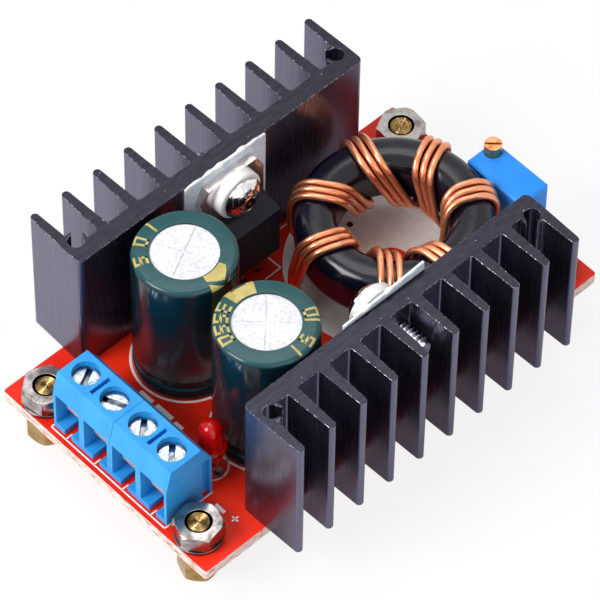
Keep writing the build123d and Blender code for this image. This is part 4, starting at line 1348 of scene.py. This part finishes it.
@dataclass
class Studio:
    """The camera at the photograph's angle, the pale floor and the soft lamps.

    Attributes:
        azimuth: the camera's turn from -Y towards -X in degrees.
        elevation: its height angle in degrees.
        roll: its lean in degrees.
        distance: from the middle of the board's top in millimetres.
        focal_pixels: its focal length, in pixels of the picture's width.
        picture: the picture's width in pixels.
        centre_x: its shift to the right in millimetres.
        centre_y: its shift upwards.
        sky: the light of the background, where it isn't seen directly.
        floor_half: half the floor's side in millimetres.
        floor_seen: how much of its own white the camera sees in the floor.
        floor_clear: the distances in metres between which the floor's own white grows, and its least
            and most share.
        lamps: the name, place, size and power of each lamp.
    """
    azimuth: float = 44.001
    elevation: float = 52.838
    roll: float = 0.954
    distance: float = 596.169
    focal_pixels: float = 4910.311
    picture: int = 600
    centre_x: float = -0.395
    centre_y: float = 3.797
    sky: float = 0.36
    floor_half: float = 1500.0
    floor_seen: float = 0.85
    floor_clear: tuple[float, ...] = (0.03, 0.12, 0.1, 0.8)
    lamps: tuple[tuple[str, Triple, float, float], ...] = (
        ("key", (-0.75, 0.2, 0.7), 0.5, 10.0), ("fill", (-0.2, -0.9, 0.5), 0.6, 2.0),
        ("top", (0.15, 0.3, 1.0), 0.6, 3.0),
    )

    def camera(self) -> None:
        """Sets the camera from its angles, distance and offsets."""
        az, el, ro = (math.radians(v) for v in (self.azimuth, self.elevation, self.roll))
        back = np.array([-math.sin(az) * math.cos(el), -math.cos(az) * math.cos(el), math.sin(el)])
        right = np.array([math.cos(az), -math.sin(az), 0.0])
        up = np.cross(back, right)
        spot = right * self.centre_x + up * self.centre_y + back * self.distance + np.array([0, 0, BOARD_TOP])
        right, up = right * math.cos(ro) + up * math.sin(ro), up * math.cos(ro) - right * math.sin(ro)
        data = bpy.data.cameras.new("camera")
        data.sensor_width = 36
        data.lens = data.sensor_width * self.focal_pixels / self.picture
        data.clip_start, data.clip_end = 0.01, 10
        view = stand("camera", data)
        turn = Matrix([right.tolist(), up.tolist(), back.tolist()]).transposed().to_4x4()
        view.matrix_world = Matrix.Translation(Vector((spot * MM).tolist())) @ turn
        bpy.context.scene.camera = view

    def lamp(self, name: str, spot: Triple, size: float, power: float) -> None:
        """Hangs a square soft lamp that looks at the module.

        Args:
            name: the lamp's name.
            spot: where it hangs, in metres.
            size: its side in metres.
            power: its power in watts.
        """
        data = bpy.data.lights.new(name, "AREA")
        data.size = size
        data.energy = power
        lamp = stand(name, data)
        lamp.location = spot
        lamp.rotation_euler = (Vector((0, 0, 0.01)) - Vector(spot)).to_track_quat("-Z", "Y").to_euler()

    def seen_directly(self, tree: bpy.types.NodeTree) -> Socket:
        """Adds a value that is 1 for camera, mirror and see-through rays.

        Args:
            tree: the node tree to add it to.

        Returns:
            The value's socket.
        """
        path = tree.nodes.new("ShaderNodeLightPath")
        total = path.outputs["Is Camera Ray"]
        for name in ("Is Glossy Ray", "Is Transmission Ray"):
            most = tree.nodes.new("ShaderNodeMath")
            most.operation = "MAXIMUM"
            tree.links.new(total, most.inputs[0])
            tree.links.new(path.outputs[name], most.inputs[1])
            total = most.outputs[0]
        return total

    def world(self) -> None:
        """Lights the scene evenly, and shows white where a ray sees the background."""
        world = bpy.data.worlds.new("studio")
        world.use_nodes = True
        tree = world.node_tree
        background = tree.nodes["Background"]
        background.inputs["Color"].default_value = (1, 1, 1, 1)
        strength = tree.nodes.new("ShaderNodeMapRange")
        strength.inputs["To Min"].default_value = self.sky
        tree.links.new(self.seen_directly(tree), strength.inputs["Value"])
        tree.links.new(strength.outputs[0], background.inputs["Strength"])
        bpy.context.scene.world = world

    def floor(self) -> None:
        """Lays the pale floor, which shows near white and keeps the shadow."""
        corners = np.array([(-1, -1, 0), (1, -1, 0), (1, 1, 0), (-1, 1, 0)])
        floor = mesh_piece("floor", self.floor_half * corners, [[0, 1, 2, 3]])
        shader = Shader("pale_floor")
        shader.surface(Base_Color=(0.86, 0.86, 0.86, 1), Roughness=0.9)
        away = shader.add("VectorMath", {0: shader.place}, "Value", operation="LENGTH")
        clear = shader.ranged(away, *self.floor_clear)
        seen = self.seen_directly(shader.tree)
        camera = shader.add("LightPath", {}, "Is Camera Ray")
        direct = shader.math("MULTIPLY", camera, self.floor_seen)
        share = shader.math("MULTIPLY", seen, shader.math("MAXIMUM", direct, clear))
        layers = {0: share, 1: shader.bsdf.outputs[0], 2: shader.add("Emission", {})}
        shader.feed(shader.output.inputs["Surface"], shader.add("MixShader", layers))
        floor.data.materials.append(shader.material)

    def build(self) -> None:
        """Sets up everything that isn't the module."""
        bpy.context.scene.view_settings.view_transform = "Standard"
        self.camera()
        self.world()
        self.floor()
        for lamp in self.lamps:
            self.lamp(*lamp)


SOFT_EDGES = {
    "circuit_board": 0.06, "rear_heatsink": 0.08, "front_heatsink": 0.08, "washers": 0.08,
    "standoffs": 0.06, "switch_tab": 0.08, "rectifier_tab": 0.08,
    "switch_package": 0.12, "rectifier_package": 0.12,
    "input_terminal_housing": 0.03, "output_terminal_housing": 0.03, "trimmer_case": 0.15,
}
INPUT_NUMBERS = (("1", 90.0), ("0", 122.0), ("5", 153.0))
OUTPUT_NUMBERS = (("35", 124.0), ("50", 158.0), ("10", -36.0), ("5", -72.0), ("1", -98.0))


def dress_frame() -> None:
    """Gives every CAD node the finish of its record slot."""
    slots = {entry["node"]: entry["material_slot"] for entry in frame["record"]["subparts"]}
    for node, piece in frame["nodes"].items():
        piece.data.materials.clear()
        piece.data.materials.append(material_of(OWN_FINISHES.get(node, slots[node])))
        piece["slot"] = slots[node]
        LOG.info("%s is finished in %s", node, slots[node])


def main() -> None:
    """Builds the module's looks in order."""
    logging.basicConfig(level=logging.INFO, format="%(message)s")
    Studio().build()
    dress_frame()
    for node, width in SOFT_EDGES.items():
        softened(node, width)
    Corners().build()
    FixingScrew("switch_screw", Side.REAR).build()
    FixingScrew("rectifier_screw", Side.FRONT).build()
    Silkscreen().build()
    Capacitor("input", -84.0, INPUT_NUMBERS, ends_in_arrow=True).build()
    Capacitor("output", 81.0, OUTPUT_NUMBERS).build()
    Choke().build()
    Indicator().build()
    PasteBead("rear_paste", (-6.4, 13.85, 26.85), (6.4, 13.85, 26.85), 0.28, 3).build()
    PasteBead("front_paste", (-6.8, -13.85, 27.3), (6.0, -13.85, 28.08), 0.25, 6).build()


if __name__ == "__main__":
    main()
